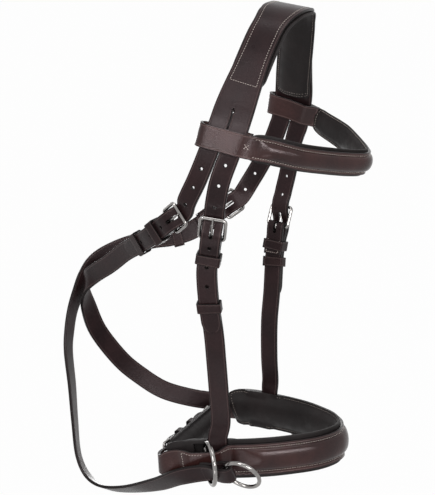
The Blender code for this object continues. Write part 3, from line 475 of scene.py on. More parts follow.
RIGHT_CROSS_OUT = [(-0.05, 1, 0), (-0.1, 1, 0), (-0.3, 0.92, -0.15), (-0.3, 0.92, -0.15), (-0.3, 0.92, -0.15),
                   (-0.3, 0.92, -0.15), (-0.36, 0.9, -0.2), (-0.4, 0.88, -0.25), (-0.4, 0.88, -0.25),
                   (-0.45, 0.83, -0.3), (-0.6, 0.7, -0.35), (-0.8, 0.45, -0.4), (-0.95, 0.0, -0.2),
                   (-0.85, -0.4, -0.2), (-0.65, -0.7, -0.3), (-0.5, -0.75, -0.4), (-0.35, -0.8, -0.45),
                   (-0.2, -0.85, -0.45), (0.1, -0.93, -0.3), (0.2, -0.95, -0.15), (0.22, -0.97, -0.1),
                   (0.16, -0.93, -0.33), (0.1, -0.86, -0.5), (0.1, -0.86, -0.5), (0.1, -0.86, -0.5)]
LEFT_CROSS_LINE = [(-52.5, 100, -142), (-64, 97, -166), (-75, 94, -186), (-83.5, 88.9, -201), (-92.2, 80.5, -208),
                   (-99.1, 73.9, -213.5), (-104, 69, -217.5), (-122, 51.5, -232), (-141, 41, -238.5),
                   (-162, 32.5, -242), (-189, 22, -250.5), (-212, 13, -264), (-224, 8, -281), (-231, 3, -298),
                   (-234.5, -5, -316), (-234, -14, -335), (-231, -23, -355), (-223, -32, -389),
                   (-216.6, -40, -424), (-209, -48, -458), (-195, -54, -477), (-173, -61, -483),
                   (-142, -68, -477), (-104, -81, -460.5), (-76, -92.5, -444), (-52, -95, -435),
                   (-36, -95, -432.5), (-18, -94.5, -430.5), (-6, -94, -429)]
LEFT_CROSS_OUT = [(-0.05, 1, 0), (-0.05, 1, 0), (-0.1, 0.98, -0.1), (-0.45, 0.88, -0.25), (-0.45, 0.88, -0.25),
                  (-0.45, 0.88, -0.25), (-0.45, 0.88, -0.25), (-0.4, 0.88, -0.25), (-0.4, 0.85, -0.3),
                  (-0.4, 0.85, -0.3), (-0.45, 0.8, -0.35), (-0.6, 0.7, -0.35), (-0.85, 0.4, -0.3),
                  (-0.97, 0.15, -0.1), (-1, 0.02, 0), (-1, -0.02, 0), (-0.99, -0.1, -0.05), (-0.98, -0.18, -0.1),
                  (-0.96, -0.28, -0.2), (-0.9, -0.37, -0.35), (-0.6, -0.4, -0.7), (-0.2, -0.45, -0.87),
                  (0.15, -0.6, -0.78), (0.25, -0.85, -0.5), (0.25, -0.93, -0.3), (0.16, -0.93, -0.33),
                  (0.1, -0.86, -0.5), (0.1, -0.86, -0.5), (0.1, -0.86, -0.5)]
GIRTH_PLAN = [(-105, 0), (-105, 20), (-105, 40), (-105, 57), (-103, 71), (-95, 81), (-80, 84.5), (-58, 81),
              (-29, 72), (-10, 65.5), (10, 56.5), (29, 44.5), (44, 33), (54, 20.5), (59.5, 8), (60.5, 0)]
GIRTH_HEIGHT = -426.2
GIRTH_PITCH = 0.061
GIRTH_SAG = 7.0  # how much lower the band lies behind the chin
GIRTH_SAG_X = (-70, -98)
BROW_LOOP_TAIL = [(14, 80), (7, 84.2), (0, 86), (-8, 86.2), (-28, 86.2), (-45, 86.2)]
BROW_TURN = (-46.5, 92.2, 6)  # middle of the loop's rear bend and its radius
BROW_PLAN = [(-45, 98.2), (-28, 98.2), (-14, 98.2), (-6, 97.2), (1, 94.2), (13, 85.5), (25, 77.5), (39, 66),
             (55.5, 44), (71, 20.5), (79, 0)]
BROW_HEIGHTS = [(-52, -100), (-25, -105.5), (-3, -111.5), (17, -117.3), (43, -125.8), (63, -131.8), (87, -137.5)]
BROW_ROLL = 0.035  # how much lower the left side hangs in front
BROW_ROLL_X = (-45, 20)
BROW_LEAN = 0.22  # how much the loops lean with the headpiece
BROW_LEAN_X = (-18, 60)  # where that ends, going forward
BROW_LINING_X = 21 * MM
print("places in the cross-under lines:", len(RIGHT_CROSS_LINE), "right,", len(LEFT_CROSS_LINE), "left")

# %% Where things sit on the routes
SPLIT_HEIGHT = {RIGHT: -80.6 * MM, LEFT: -118 * MM}
CROWN_PAD_END = {RIGHT: -51 * MM, LEFT: -89 * MM}
CHEEK_BAR_A = {RIGHT: -178 * MM, LEFT: -209 * MM}
CHEEK_TIP = {RIGHT: -293 * MM, LEFT: -302 * MM}
RUNNER_HEIGHT = -262 * MM
CROSS_BAR_A = {RIGHT: -178 * MM, LEFT: -203 * MM}
CROSS_TIP = 102 * MM
CHIN_BAR_A = 57 * MM
CHIN_TIP = 7 * MM
CHIN_TAIL = 34 * MM
CHIN_KEEPER = 10 * MM
CORNER = 82 * MM  # from the chin's middle to the noseband's rear corner
CORNER_BULGE = 4 * MM
CORNER_RUN = 16 * MM  # from the corner to where the strap lies on its lining
REAR_WIDENS = 10 * MM  # from the corner to the rear width
NOSE_LINING_START = 90 * MM
CHEEK_X = -40.5 * MM
CHEEK_END = (22 * MM, 7 * MM, -8 * MM)  # heights on the noseband that the cheek's end passes
RING_X = -53.5 * MM
NOSE_RING_SWING = {RIGHT: 21, LEFT: -16}
NOSE_RING_RAISE = {RIGHT: 2.0 * MM, LEFT: -2.0 * MM}  # of its hinge, above the band's middle
REIN_FOLD_X = -28.2 * MM
REIN_RING_SWING = {RIGHT: 4, LEFT: 8}
print("the left billets end", round((CHEEK_TIP[RIGHT] - CHEEK_TIP[LEFT]) / MM), "mm lower than the right ones")

# %% [markdown]
# The same few rules as in the CAD model turn these lists into routes: the crown over the
# poll, the noseband's girth, the two lines down each side, and the browband.

# %% Routes of the crown and the noseband
def crown_route():
    """Up the right side, over the poll and down the left side."""
    points = mm(CROWN_LINE, RIGHT)[::-1] + mm(CROWN_LINE[1:], LEFT)
    route = Route(points, -1, across=[CROWN_ACROSS] * len(points))
    route.zero = route.at(1, 0.0)
    return route


def crown_width(s):
    """Wide on the poll and at the forks, narrower behind the ears."""
    start, full, back, end = CROWN_WAIST_PLACE
    return CROWN_WIDTH - CROWN_WAIST * (ramp(abs(s), start, full) - ramp(abs(s), back, end))


def girth_route():
    """From the chin's middle round the right side, the front and the left side."""
    points = []
    for x, y in [(x, -y) for x, y in GIRTH_PLAN] + GIRTH_PLAN[-2::-1]:
        sag = GIRTH_SAG * ramp(-x, -GIRTH_SAG_X[0], -GIRTH_SAG_X[1])
        points.append(Vector((x, y, GIRTH_HEIGHT + GIRTH_PITCH * (x + 29) - sag)) * MM)
    route = Route(points, 1, across=[Vector((-GIRTH_PITCH, 0, 1))] * len(points))
    route.closed = True
    return route


CROWN, GIRTH = crown_route(), girth_route()
print("crown", round(CROWN.run[-1] / MM), "mm, girth", round(GIRTH.length() / MM), "mm")

# %% Routes down the sides
FRONT, REAR, FORK = {}, {}, {}
for side, _ in SIDES:
    FORK[side] = CROWN.at(2, SPLIT_HEIGHT[side], last=side == LEFT)
    fork = [FORK[side] - side * FORK_LEAD, FORK[side]]
    front_line, rear_line, rear_out = UPPER_CHEEK_LINE[side] + LOWER_CHEEK_LINE, LEFT_CROSS_LINE, LEFT_CROSS_OUT
    turns = [CHEEK_TURN] * len(front_line)
    if side == RIGHT:
        fork.append(FORK[side] + side * FORK_LEAD)
        front_line = [UNDER_BROWBAND] + front_line
        rear_line, rear_out = [REAR_UNDER_BROWBAND] + RIGHT_CROSS_LINE, RIGHT_CROSS_OUT[:1] + RIGHT_CROSS_OUT
        turns = [CHEEK_TURN / 2] + turns
    cheek_at = GIRTH.at(0, CHEEK_X, last=side == LEFT)
    forward = -side * GIRTH.frame(cheek_at)[1]
    points = [CROWN.place(s, BILLET_SHIFT, 0.0) for s in fork] + mm(front_line, side)
    points += [GIRTH.place(cheek_at, w, -CHEEK_LAYER) for w in CHEEK_END]
    across = [CROWN.frame(s)[2] for s in fork] + [Vector((1, -side * turn, -0.1)) for turn in turns]
    FRONT[side] = Route(points, -side, across=across + [forward] * len(CHEEK_END))
    points = [CROWN.place(s, -BILLET_SHIFT, 0.0) for s in fork] + mm(rear_line, side)
    out = [CROWN.frame(s)[3] for s in fork] + [Vector((x, side * y, z)) for x, y, z in rear_out]
    REAR[side] = Route(points, -side, out=out)
print("cross-under straps run", [round(REAR[side].length() / MM) for side, _ in SIDES], "mm")

# %% Route of the browband
def brow_height(x):
    """Height and slope of the browband at a distance forward, in millimetres."""
    for (x0, z0), (x1, z1) in zip(BROW_HEIGHTS, BROW_HEIGHTS[1:]):
        if x <= x1:
            return z0 + (z1 - z0) * (x - x0) / (x1 - x0), (z1 - z0) / (x1 - x0)
    raise ValueError("the browband doesn't reach that far forward")


def brow_route():
    """From the end of one loop round the front to the end of the other."""
    x, y, radius = BROW_TURN
    turn = [(x - radius * math.sin(math.radians(a)), y - radius * math.cos(math.radians(a)))
            for a in (45, 90, 135)]
    half = BROW_LOOP_TAIL + turn + BROW_PLAN
    points, across = [], []
    for x, y in [(x, -y) for x, y in half] + half[-2::-1]:
        height, slope = brow_height(x)
        roll = BROW_ROLL * ramp(x, *BROW_ROLL_X)
        points.append(Vector((x, y, height - roll * y)) * MM)
        lean = BROW_LEAN * (1 - ramp(x, *BROW_LEAN_X))
        across.append(Vector((-slope, roll + math.copysign(lean, -y), 1)))
    return Route(points, 1, across=across)


BROW = brow_route()
print("browband", round(BROW.length() / MM), "mm with its loops")

# %% [markdown]
# ## From the bench to the horse
# A strap doesn't keep to its route's middle line: it rises over a buckle's bar, lies down
# on another strap, or folds back on itself. Its path says how far out it is at each place
# along the route. A Lay joins a route and a path, and puts any point of the flat strap
# where it belongs: so far along, so far across, and so far out of the leather's middle.

# %% Laying a flat strap along its route
class Lay:
    """A strap's way in space: t along the strap, w across it, d out from its middle."""

    def __init__(self, route, path, face=1):
        self.route, self.path, self.face = route, path, face
        self.run, self.headings = [0.0], []
        for (s0, n0), (s1, n1) in zip(path, path[1:]):
            self.run.append(self.run[-1] + math.hypot(s1 - s0, n1 - n0))
        last = len(path) - 1
        for i in range(len(path)):
            (s0, n0), (s1, n1) = path[max(i - 1, 0)], path[min(i + 1, last)]
            size = math.hypot(s1 - s0, n1 - n0)
            self.headings.append(Vector(((s1 - s0) / size, (n1 - n0) / size)))

    def length(self):
        return self.run[-1]

    def spot(self, t):
        """Distance along the route, distance out, and heading in those two."""
        i = min(max(bisect_right(self.run, t) - 1, 0), len(self.run) - 2)
        share = (t - self.run[i]) / (self.run[i + 1] - self.run[i])
        (s0, n0), (s1, n1) = self.path[i], self.path[i + 1]
        heading = self.headings[i].lerp(self.headings[i + 1], min(max(share, 0.0), 1.0))
        return s0 + (s1 - s0) * share, n0 + (n1 - n0) * share, heading

    def place(self, t, w, d):
        s, n, heading = self.spot(t)
        d *= self.face
        return self.route.place(s - d * heading[1], w, n + d * heading[0])

    def at(self, s, last=False):
        """How far along the strap it first, or last, passes a distance s along its route."""
        found = [self.run[i] + (s - a) / (b - a) * (self.run[i + 1] - self.run[i])
                 for i, ((a, _), (b, _)) in enumerate(zip(self.path, self.path[1:]))
                 if a != b and (a - s) * (b - s) <= 0]
        return found[-1] if last else found[0]


climb = Lay(CROWN, [(0.0, 0.0), (20 * MM, LAYER)])
print("a strap that climbs over another in 20 mm is", round((climb.length() - 20 * MM) / MM, 2), "mm longer")

# %% The paths of straps: eased, folded round a bar, or buckled
def eased(places):
    """A path through (s, n) places, level at each of them and smooth between."""
    path = []
    for (s0, n0), (s1, n1) in zip(places, places[1:]):
        count = max(1, math.ceil(abs(s1 - s0) / PATH_STEP))
        for i in range(count):
            t = i / count
            path.append((s0 + (s1 - s0) * t, n0 + (n1 - n0) * ramp(t, 0.0, 1.0)))
    path.append(places[-1])
    return path


def fold_path(far, bar, direction, radius=FOLD_RADIUS, reach=0.0, tail=CHAPE_TAIL):
    """A strap end folded inward round a bar, from far along it to the end of its tail."""
    top, low = BAR_B_OUT + radius, BAR_B_OUT - radius
    over = eased([(far, 0.0), (bar + direction * CHAPE_RUN, 0.0), (bar, top)])
    arc = []
    for i in range(13):
        a = math.pi * (0.5 + i / 12)
        arc.append((bar + direction * (radius * math.cos(a) - reach), BAR_B_OUT + radius * math.sin(a)))
    under = eased([(bar, low), (bar + direction * CHAPE_RUN, -CHAPE_LAYER),
                   (bar + direction * tail, -CHAPE_LAYER)])
    return over[:-1] + ([(bar, top)] if reach else []) + arc + (under if reach else under[1:])


def billet_places(bar_a, tip, direction, lead):
    """Where a billet passes under bar A, over the folded end at bar B, and lies down."""
    def s(x):
        return bar_a + direction * x
    under, over = (-4 * MM, 1 * MM), (BUCKLE_PITCH - 3 * MM, BUCKLE_PITCH + 3 * MM)
    down = BUCKLE_PITCH + KEEPER_PLACE - 1 * MM
    return (lead + [(s(x), BILLET_UNDER_A) for x in under] + [(s(x), BILLET_OVER_B) for x in over]
            + [(s(down), LAYER), (tip, LAYER)])


TIP_BLUNT = 0.30  # a point's own width, as a share of the strap's


def pointed(distance):
    """The width of a strap at a distance from its rounded point."""
    left = min(max(distance / TIP, 0.0), 1.0)
    return BILLET_WIDTH * (TIP_BLUNT + (1 - TIP_BLUNT) * math.sqrt(1 - (1 - left) ** 2))


print("a strap is", round(pointed(TIP / 4) / MM, 1), "mm wide 3 mm from its point")

# %% [markdown]
# ## Bench work
# These helpers are the saddler's tools. A strip is cut as a flat grid, made as thick as
# the leather, and its edges are rounded as an edge shave and a slicker leave them. Punches
# go through it while it is flat. The flat map keeps the place of every point, so that the
# leather's shader knows where the edges are after the strap is bent.

# %% Cutting and thickening
def deselect():
    bpy.ops.object.select_all(action="DESELECT")


def apply_all(piece):
    """Applies every modifier of a piece, in order."""
    bpy.context.view_layer.objects.active = piece
    for change in list(piece.modifiers):
        bpy.ops.object.modifier_apply(modifier=change.name)


def spaced(start, end, step=2.5 * MM):
    """Even places from start to end, no further apart than the step."""
    count = max(1, math.ceil(abs(end - start) / step))
    return [start + (end - start) * i / count for i in range(count + 1)]


def even(count):
    """Shares from 0 to 1 that divide a strip's width evenly."""
    return [i / count for i in range(count + 1)]


def cut_strip(name, rows, columns, edges):
    """A flat strip with a row of points at each distance along it, at shares of the width between edges(t)."""
    deselect()
    bpy.ops.mesh.primitive_grid_add(x_subdivisions=len(rows) - 1, y_subdivisions=len(columns) - 1, size=2)
    strip = bpy.context.object
    strip.name = name
    for vertex in strip.data.vertices:
        t = rows[round((vertex.co.x + 1) / 2 * (len(rows) - 1))]
        share = columns[round((vertex.co.y + 1) / 2 * (len(columns) - 1))]
        low, high = edges(t)
        vertex.co = (t, low + (high - low) * share, 0.0)
    return strip


def thicken(strip, thickness=LEATHER, rounding=0.5 * MM, offset=0.0):
    """Gives a flat strip its thickness and rounded edges."""
    solid = strip.modifiers.new("thickness", "SOLIDIFY")
    solid.thickness, solid.offset = thickness, offset
    edge = strip.modifiers.new("rounded edges", "BEVEL")
    edge.width, edge.segments, edge.angle_limit = rounding, 3, math.radians(60)
    apply_all(strip)


print("rows of a strap are at most", spaced(0.0, 1.0)[1] / MM, "mm apart")

# %% Punching
FLARE = 0.6 * MM  # how far a punched hole's mouth is pressed open
OVER, UNDER = 0.5 * MM, 0.3 * MM  # how far the flaring cone goes on above the leather and below the flare
PUNCH_LENGTH, PUNCH_SIDES = 12 * MM, 24


def punch(strip, holes=(), slots=(), slit=False):
    """Drives round punches (t, w, radius) and slot punches (t, w, half length, half width) through a strip."""
    tools = []
    for t, w, radius in holes:
        deselect()
        bpy.ops.mesh.primitive_cylinder_add(vertices=PUNCH_SIDES, radius=radius, depth=PUNCH_LENGTH,
                                            location=(t, w, 0))
        tools.append(bpy.context.object)
        deselect()
        bpy.ops.mesh.primitive_cone_add(vertices=PUNCH_SIDES, radius1=radius - UNDER,
                                        radius2=radius + FLARE + OVER, depth=FLARE + (OVER + UNDER),
                                        location=(t, w, HALF + (OVER - FLARE - UNDER) / 2))
        tools.append(bpy.context.object)
    for t, w, half_length, half_width in slots:
        deselect()
        bpy.ops.mesh.primitive_cylinder_add(vertices=PUNCH_SIDES, radius=half_width, depth=PUNCH_LENGTH,
                                            location=(t, w, 0))
        tool = bpy.context.object
        for vertex in tool.data.vertices:
            vertex.co.x += math.copysign(half_length - half_width, vertex.co.x)
        tools.append(tool)
    carve(strip, tools, slit)


def carve(strip, tools, slit=False):
    """Takes the tools' shapes out of a strip. A slit strip touches itself where the slit ends."""
    deselect()
    for tool in tools:
        tool.select_set(True)
    bpy.context.view_layer.objects.active = tools[0]
    if len(tools) > 1:
        bpy.ops.object.join()
    cut = strip.modifiers.new("punch", "BOOLEAN")
    cut.operation, cut.solver, cut.object, cut.use_self = "DIFFERENCE", "EXACT", tools[0], slit
    apply_all(strip)
    bpy.data.objects.remove(tools[0])


# %% Marking the flat map, and laying the piece down
def write_flat(mesh, inset):
    """Writes the flat map: how far along, and inset(face, t, w). The walls of punched holes count as edge."""
    while mesh.uv_layers:
        mesh.uv_layers.remove(mesh.uv_layers[0])
    layer = mesh.uv_layers.new(name="flat")
    for face in mesh.polygons:
        wall = abs(face.normal.z) < 0.85 and face.center.z < HALF
        for corner in face.loop_indices:
            t, w, _ = mesh.vertices[mesh.loops[corner].vertex_index].co
            layer.data[corner].uv = (t, 0.0 if wall else max(inset(face, t, w), 0.0))


def mark_flat(strip, edges, start, end):
    """The flat map of a plain strip: how far in from the nearest of its sides and ends."""
    def inset(_, t, w):
        low, high = edges(t)
        return min(w - low, high - w, t - start, end - t)
    write_flat(strip.data, inset)


BODY_OF = {name: body for body, names in frame["record"]["behaviour"]["bodies"].items() for name in names}


def smooth(piece, degrees=40):
    """Turns all faces outward and shades the piece smooth, apart from sharp edges."""
    deselect()
    piece.select_set(True)
    bpy.context.view_layer.objects.active = piece
    bpy.ops.object.mode_set(mode="EDIT")
    bpy.ops.mesh.select_all(action="SELECT")
    bpy.ops.mesh.normals_make_consistent(inside=False)
    bpy.ops.object.mode_set(mode="OBJECT")
    bpy.ops.object.shade_smooth_by_angle(angle=math.radians(degrees))


def fit(piece, material, node_name):
    """Gives a piece its finish, and lets it stand for a CAD node and move with that node's body."""
    piece.data.materials.clear()
    piece.data.materials.append(material)
    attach(piece, BODY_OF[node_name])
    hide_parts(node_name)


def lay_down(piece, place, material, node_name):
    """Bends a finished flat piece to its way in space."""
    for vertex in piece.data.vertices:
        vertex.co = place(*vertex.co)
    smooth(piece)
    fit(piece, material, node_name)


# %% [markdown]
# ### Stitches
# Saddle stitching is two waxed threads through awl holes about two and a half millimetres
# apart. What shows is a row of short plump stitches, each a little slanted and sunk at its
# ends. One stitch is modelled from a ball and copied along the seam's line on the flat strap.

# %% Stitching a seam
STITCH, PITCH, THREAD_HALF = 1.8 * MM, 2.5 * MM, 0.25 * MM
STITCH_FLAT = 0.8  # a stitch's height, as a share of its width
SLANT = math.radians(8)

deselect()
bpy.ops.mesh.primitive_uv_sphere_add(segments=6, ring_count=5, radius=1)
pattern = bpy.context.object
pattern.name = "stitch_pattern"
for vertex in pattern.data.vertices:
    x, y, z = vertex.co
    vertex.co = (z * STITCH / 2, y * THREAD_HALF, x * THREAD_HALF * STITCH_FLAT)
STITCH_SHAPE = [vertex.co.copy() for vertex in pattern.data.vertices]
STITCH_FACES = [tuple(face.vertices) for face in pattern.data.polygons]
bpy.data.objects.remove(pattern)


def seam_places(line):
    """Places and directions of the stitches along a line of flat (t, w) points."""
    run = lengths([Vector(p) for p in line])
    count = max(1, round(run[-1] / PITCH))
    for k in range(count):
        at = (k + 0.5) * run[-1] / count
        i = min(max(bisect_right(run, at) - 1, 0), len(run) - 2)
        (t0, w0), (t1, w1) = line[i], line[i + 1]
        share = (at - run[i]) / (run[i + 1] - run[i])
        yield t0 + (t1 - t0) * share, w0 + (w1 - w0) * share, math.atan2(w1 - w0, t1 - t0) + SLANT


def sew(name, place, lines, height, body, thread=THREAD):
    """Stitches along lines on a flat strap, laid where it lies, at one height or at height(t, w)."""
    points, faces = [], []
    for line in lines:
        for t, w, angle in seam_places(line):
            along, across = math.cos(angle), math.sin(angle)
            first = len(points)
            high = height(t, w) if callable(height) else height
            points += [place(t + x * along - y * across, w + x * across + y * along, high + z)
                       for x, y, z in STITCH_SHAPE]
            faces += [tuple(first + i for i in face) for face in STITCH_FACES]
    mesh = bpy.data.meshes.new(name)
    mesh.from_pydata(points, [], faces)
    piece = bpy.data.objects.new(name, mesh)
    bpy.context.scene.collection.objects.link(piece)
    mesh.shade_smooth()
    mesh.materials.append(thread)
    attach(piece, body)


def edge_line(start, end, offset, step=4 * MM):
    """A flat line at a distance from the middle that may change along the strap."""
    return [(t, offset(t)) for t in spaced(start, end, step)]


print("one stitch has", len(STITCH_FACES), "faces")

# %% [markdown]
# ## Headpiece
# The headpiece is one piece of hide. Over the poll it is nearly four centimetres wide, and
# at each end it is slit lengthwise into two billets, with a round hole at the end of the
# slit so that it can't tear further. It is cut here in two half strips that share the
# middle line between the forks, so the slit is a real cut in one sheet.

# %% The headpiece's billets
BILLETS = {}
for side, _ in SIDES:
    bar = FRONT[side].at(2, CHEEK_BAR_A[side])
    BILLETS[side, "front"] = (FRONT[side], bar, FRONT[side].at(2, CHEEK_TIP[side]))
    bar = REAR[side].at(2, CROSS_BAR_A[side])
    BILLETS[side, "rear"] = (REAR[side], bar, bar + CROSS_TIP)
BILLET_LAYS = {}
for key, (route, bar, tip) in BILLETS.items():
    BILLET_LAYS[key] = Lay(route, eased(billet_places(bar, tip, 1, [(FORK_LEAD, 0.0), (bar - CHAPE_RUN, 0.0)])))
print("billets", {key: round(lay.length() / MM) for key, lay in BILLET_LAYS.items()}, "mm")

# %% Where the headpiece's points go
FORK_EASE = 10 * MM  # how far beyond a fork a billet has left the crown's curve for its own
FORK_NARROWS = 12 * MM  # and how far beyond it the outer edge has come in to the billet's width


def beyond(t):
    """Which fork a flat place lies beyond, if any, and how far."""
    if t < FORK[RIGHT]:
        return RIGHT, FORK[RIGHT] - t
    if t > FORK[LEFT]:
        return LEFT, t - FORK[LEFT]
    return None, 0.0


def headpiece_place(t, w, d):
    """Where a flat point of the headpiece lies: on the crown, or on the billet of its half."""
    side, far = beyond(t)
    on_crown = CROWN.place(t, w, d)
    if not side:
        return on_crown
    hand = 1 if w > 0 else -1
    lay = BILLET_LAYS[side, "front" if hand > 0 else "rear"]
    return on_crown.lerp(lay.place(far, w - hand * BILLET_SHIFT, d), ramp(far, 0.0, FORK_EASE))


print("forks at", [round(FORK[side] / MM) for side, _ in SIDES], "mm from the poll")

# %% Cutting the headpiece
def headpiece_edges(half):
    """The edges of the front or the rear half strip, as a function of the place along it."""
    hand = 1 if half == "front" else -1

    def edges(t):
        side, far = beyond(t)
        if not side:
            inner, outer = 0.0, crown_width(t) / 2
        else:
            breadth = pointed(BILLET_LAYS[side, half].length() - far) / 2
            inner = BILLET_SHIFT - breadth
            crown = crown_width(FORK[side]) / 2
            outer = crown + (BILLET_SHIFT + breadth - crown) * ramp(far, 0.0, FORK_NARROWS)
        return (inner, outer) if hand > 0 else (-outer, -inner)
    return edges


def half_rows(half):
    """Rows along a half: closer together at the points of the billets."""
    ends = {side: FORK[side] + side * BILLET_LAYS[side, half].length() for side, _ in SIDES}
    right, left = ends[RIGHT], ends[LEFT]
    return (spaced(right, right + TIP, MM)[:-1] + spaced(right + TIP, FORK[RIGHT])[:-1]
            + spaced(FORK[RIGHT], FORK[LEFT])[:-1] + spaced(FORK[LEFT], left - TIP)[:-1]
            + spaced(left - TIP, left, MM))


halves = []
for half in ("front", "rear"):
    halves.append(cut_strip(f"headpiece_{half}", half_rows(half), even(4), headpiece_edges(half)))
deselect()
for piece in halves:
    piece.select_set(True)
bpy.context.view_layer.objects.active = halves[0]
bpy.ops.object.join()
headpiece = bpy.context.object
headpiece.name = "headpiece"
bpy.ops.object.mode_set(mode="EDIT")
bpy.ops.mesh.select_all(action="SELECT")
bpy.ops.mesh.remove_doubles(threshold=0.00005)
bpy.ops.mesh.normals_make_consistent(inside=False)
bpy.ops.object.mode_set(mode="OBJECT")
thicken(headpiece)
print("headpiece", len(headpiece.data.polygons), "faces before punching")

# %% Punching the headpiece
PUNCH, FORK_PUNCH = 1.5 * MM, 0.9 * MM  # radii of the punches
holes = [(FORK[side], 0.0, FORK_PUNCH) for side, _ in SIDES]
slots = []
for (side, half), (route, bar, tip) in BILLETS.items():
    lay, w = BILLET_LAYS[side, half], BILLET_SHIFT if half == "front" else -BILLET_SHIFT
    for count in (-3, -2, -1, 1, 2, 3):
        s = bar + HOLE_START + count * HOLE_PITCH
        if FORK_LEAD + HOLE_MARGIN < s < tip - HOLE_MARGIN:
            holes.append((FORK[side] + side * lay.at(s), w, PUNCH))
    low, high = (lay.at(bar + x) for x in TONGUE_SLOT)
    slots.append((FORK[side] + side * (low + high) / 2, w, (high - low) / 2, SLOT_HALF_WIDTH))
punch(headpiece, holes, slots, slit=True)


def headpiece_inset(face, t, w):
    """How far in from the cut edge a place is. Beyond a fork, that is taken in the billet itself."""
    if beyond(t)[0]:
        low, high = headpiece_edges("front" if face.center.y > 0 else "rear")(t)
    else:
        low, high = headpiece_edges("rear")(t)[0], headpiece_edges("front")(t)[1]
    return min(w - low, high - w)


write_flat(headpiece.data, headpiece_inset)
lay_down(headpiece, headpiece_place, STRAP_LEATHER, "headpiece_strap")
print("holes punched:", len(holes), "and", len(slots), "slots")

# %% The headpiece's seams
SEAM_IN = {"rear": 4.0 * MM, "front": 4.6 * MM}  # from the crown's edges
SEAM_END = {RIGHT: -55.5 * MM, LEFT: -86.5 * MM}  # heights of the rows across its ends
seam_right = CROWN.at(2, SEAM_END[RIGHT])
seam_left = CROWN.at(2, SEAM_END[LEFT], last=True)
lines = [edge_line(seam_right, seam_left, lambda t: crown_width(t) / 2 - SEAM_IN["front"]),
         edge_line(seam_right, seam_left, lambda t: -crown_width(t) / 2 + SEAM_IN["rear"])]
for t in (seam_right, seam_left):
    half = crown_width(t) / 2
    lines.append([(t, -half + SEAM_IN["rear"]), (t, half - SEAM_IN["front"])])
sew("headpiece_stitches", headpiece_place, lines, HALF, "bridle")
print("headpiece sewn")

# %% [markdown]
# ## Buckles, keepers and rings
# A buckle frame is one length of wire, bent to a rounded rectangle and welded. Here a
# torus is stretched to that outline, so that its section stays round in the corners. The
# tongue is a thinner rod, curled round the bar that it turns on and tapered at its tip. A
# ball drawn out along a line makes such a rod with rounded ends.

# %% Wire and rods
def outline(u0, u1, w0, w1, corner, per_corner=8):
    """Points of a rectangle with rounded corners, from the middle of its first side round."""
    centres = ((u1 - corner, w1 - corner), (u0 + corner, w1 - corner), (u0 + corner, w0 + corner),
               (u1 - corner, w0 + corner))
    points = [(u1, (w0 + w1) / 2)]
    for quarter, (u, w) in enumerate(centres):
        for i in range(per_corner + 1):
            a = math.radians(90 * (quarter + i / per_corner))
            points.append((u + corner * math.cos(a), w + corner * math.sin(a)))
    return points + points[:1]


def walk(points, run, share):
    """Place and direction at a share of the way round an outline."""
    at = share * run[-1]
    i = min(max(bisect_right(run, at) - 1, 0), len(run) - 2)
    a, b = Vector(points[i]), Vector(points[i + 1])
    return a.lerp(b, (at - run[i]) / (run[i + 1] - run[i])), (b - a).normalized()


def drawn_rod(name, points, radius, tip=1.0):
    """A ball drawn out along a line of points into a round rod that may taper to its tip."""
    points = spline(points, 8)
    run = lengths(points)
    rings = 3 * len(points) // 4
    deselect()
    bpy.ops.mesh.primitive_uv_sphere_add(segments=16, ring_count=rings, radius=1)
    rod = bpy.context.object
    rod.name = name
    sides = []
    side = (points[1] - points[0]).orthogonal()
    for i, point in enumerate(points):
        along = (points[min(i + 1, len(points) - 1)] - points[max(i - 1, 0)]).normalized()
        side = (side - side.dot(along) * along).normalized()
        sides.append((side.copy(), along.cross(side)))
    for vertex in rod.data.vertices:
        share = math.acos(min(max(-vertex.co.z, -1.0), 1.0)) / math.pi
        at = share * run[-1]
        i = min(max(bisect_right(run, at) - 1, 0), len(run) - 2)
        point = points[i].lerp(points[i + 1], (at - run[i]) / (run[i + 1] - run[i]))
        end = min(at, run[-1] - at) / radius
        taper = 1.0 - (1.0 - tip) * ramp(share, 0.55, 1.0)
        wide = radius * taper * math.sqrt(1 - (1 - min(end, 1.0)) ** 2)
        turn = math.atan2(vertex.co.y, vertex.co.x)
        near, other = sides[i]
        vertex.co = point + wide * (math.cos(turn) * near + math.sin(turn) * other)
    return rod


print("a frame's wire is", round(2 * BUCKLE_WIRE / MM, 1), "mm thick, a tongue's", round(2 * TONGUE_WIRE / MM, 1))

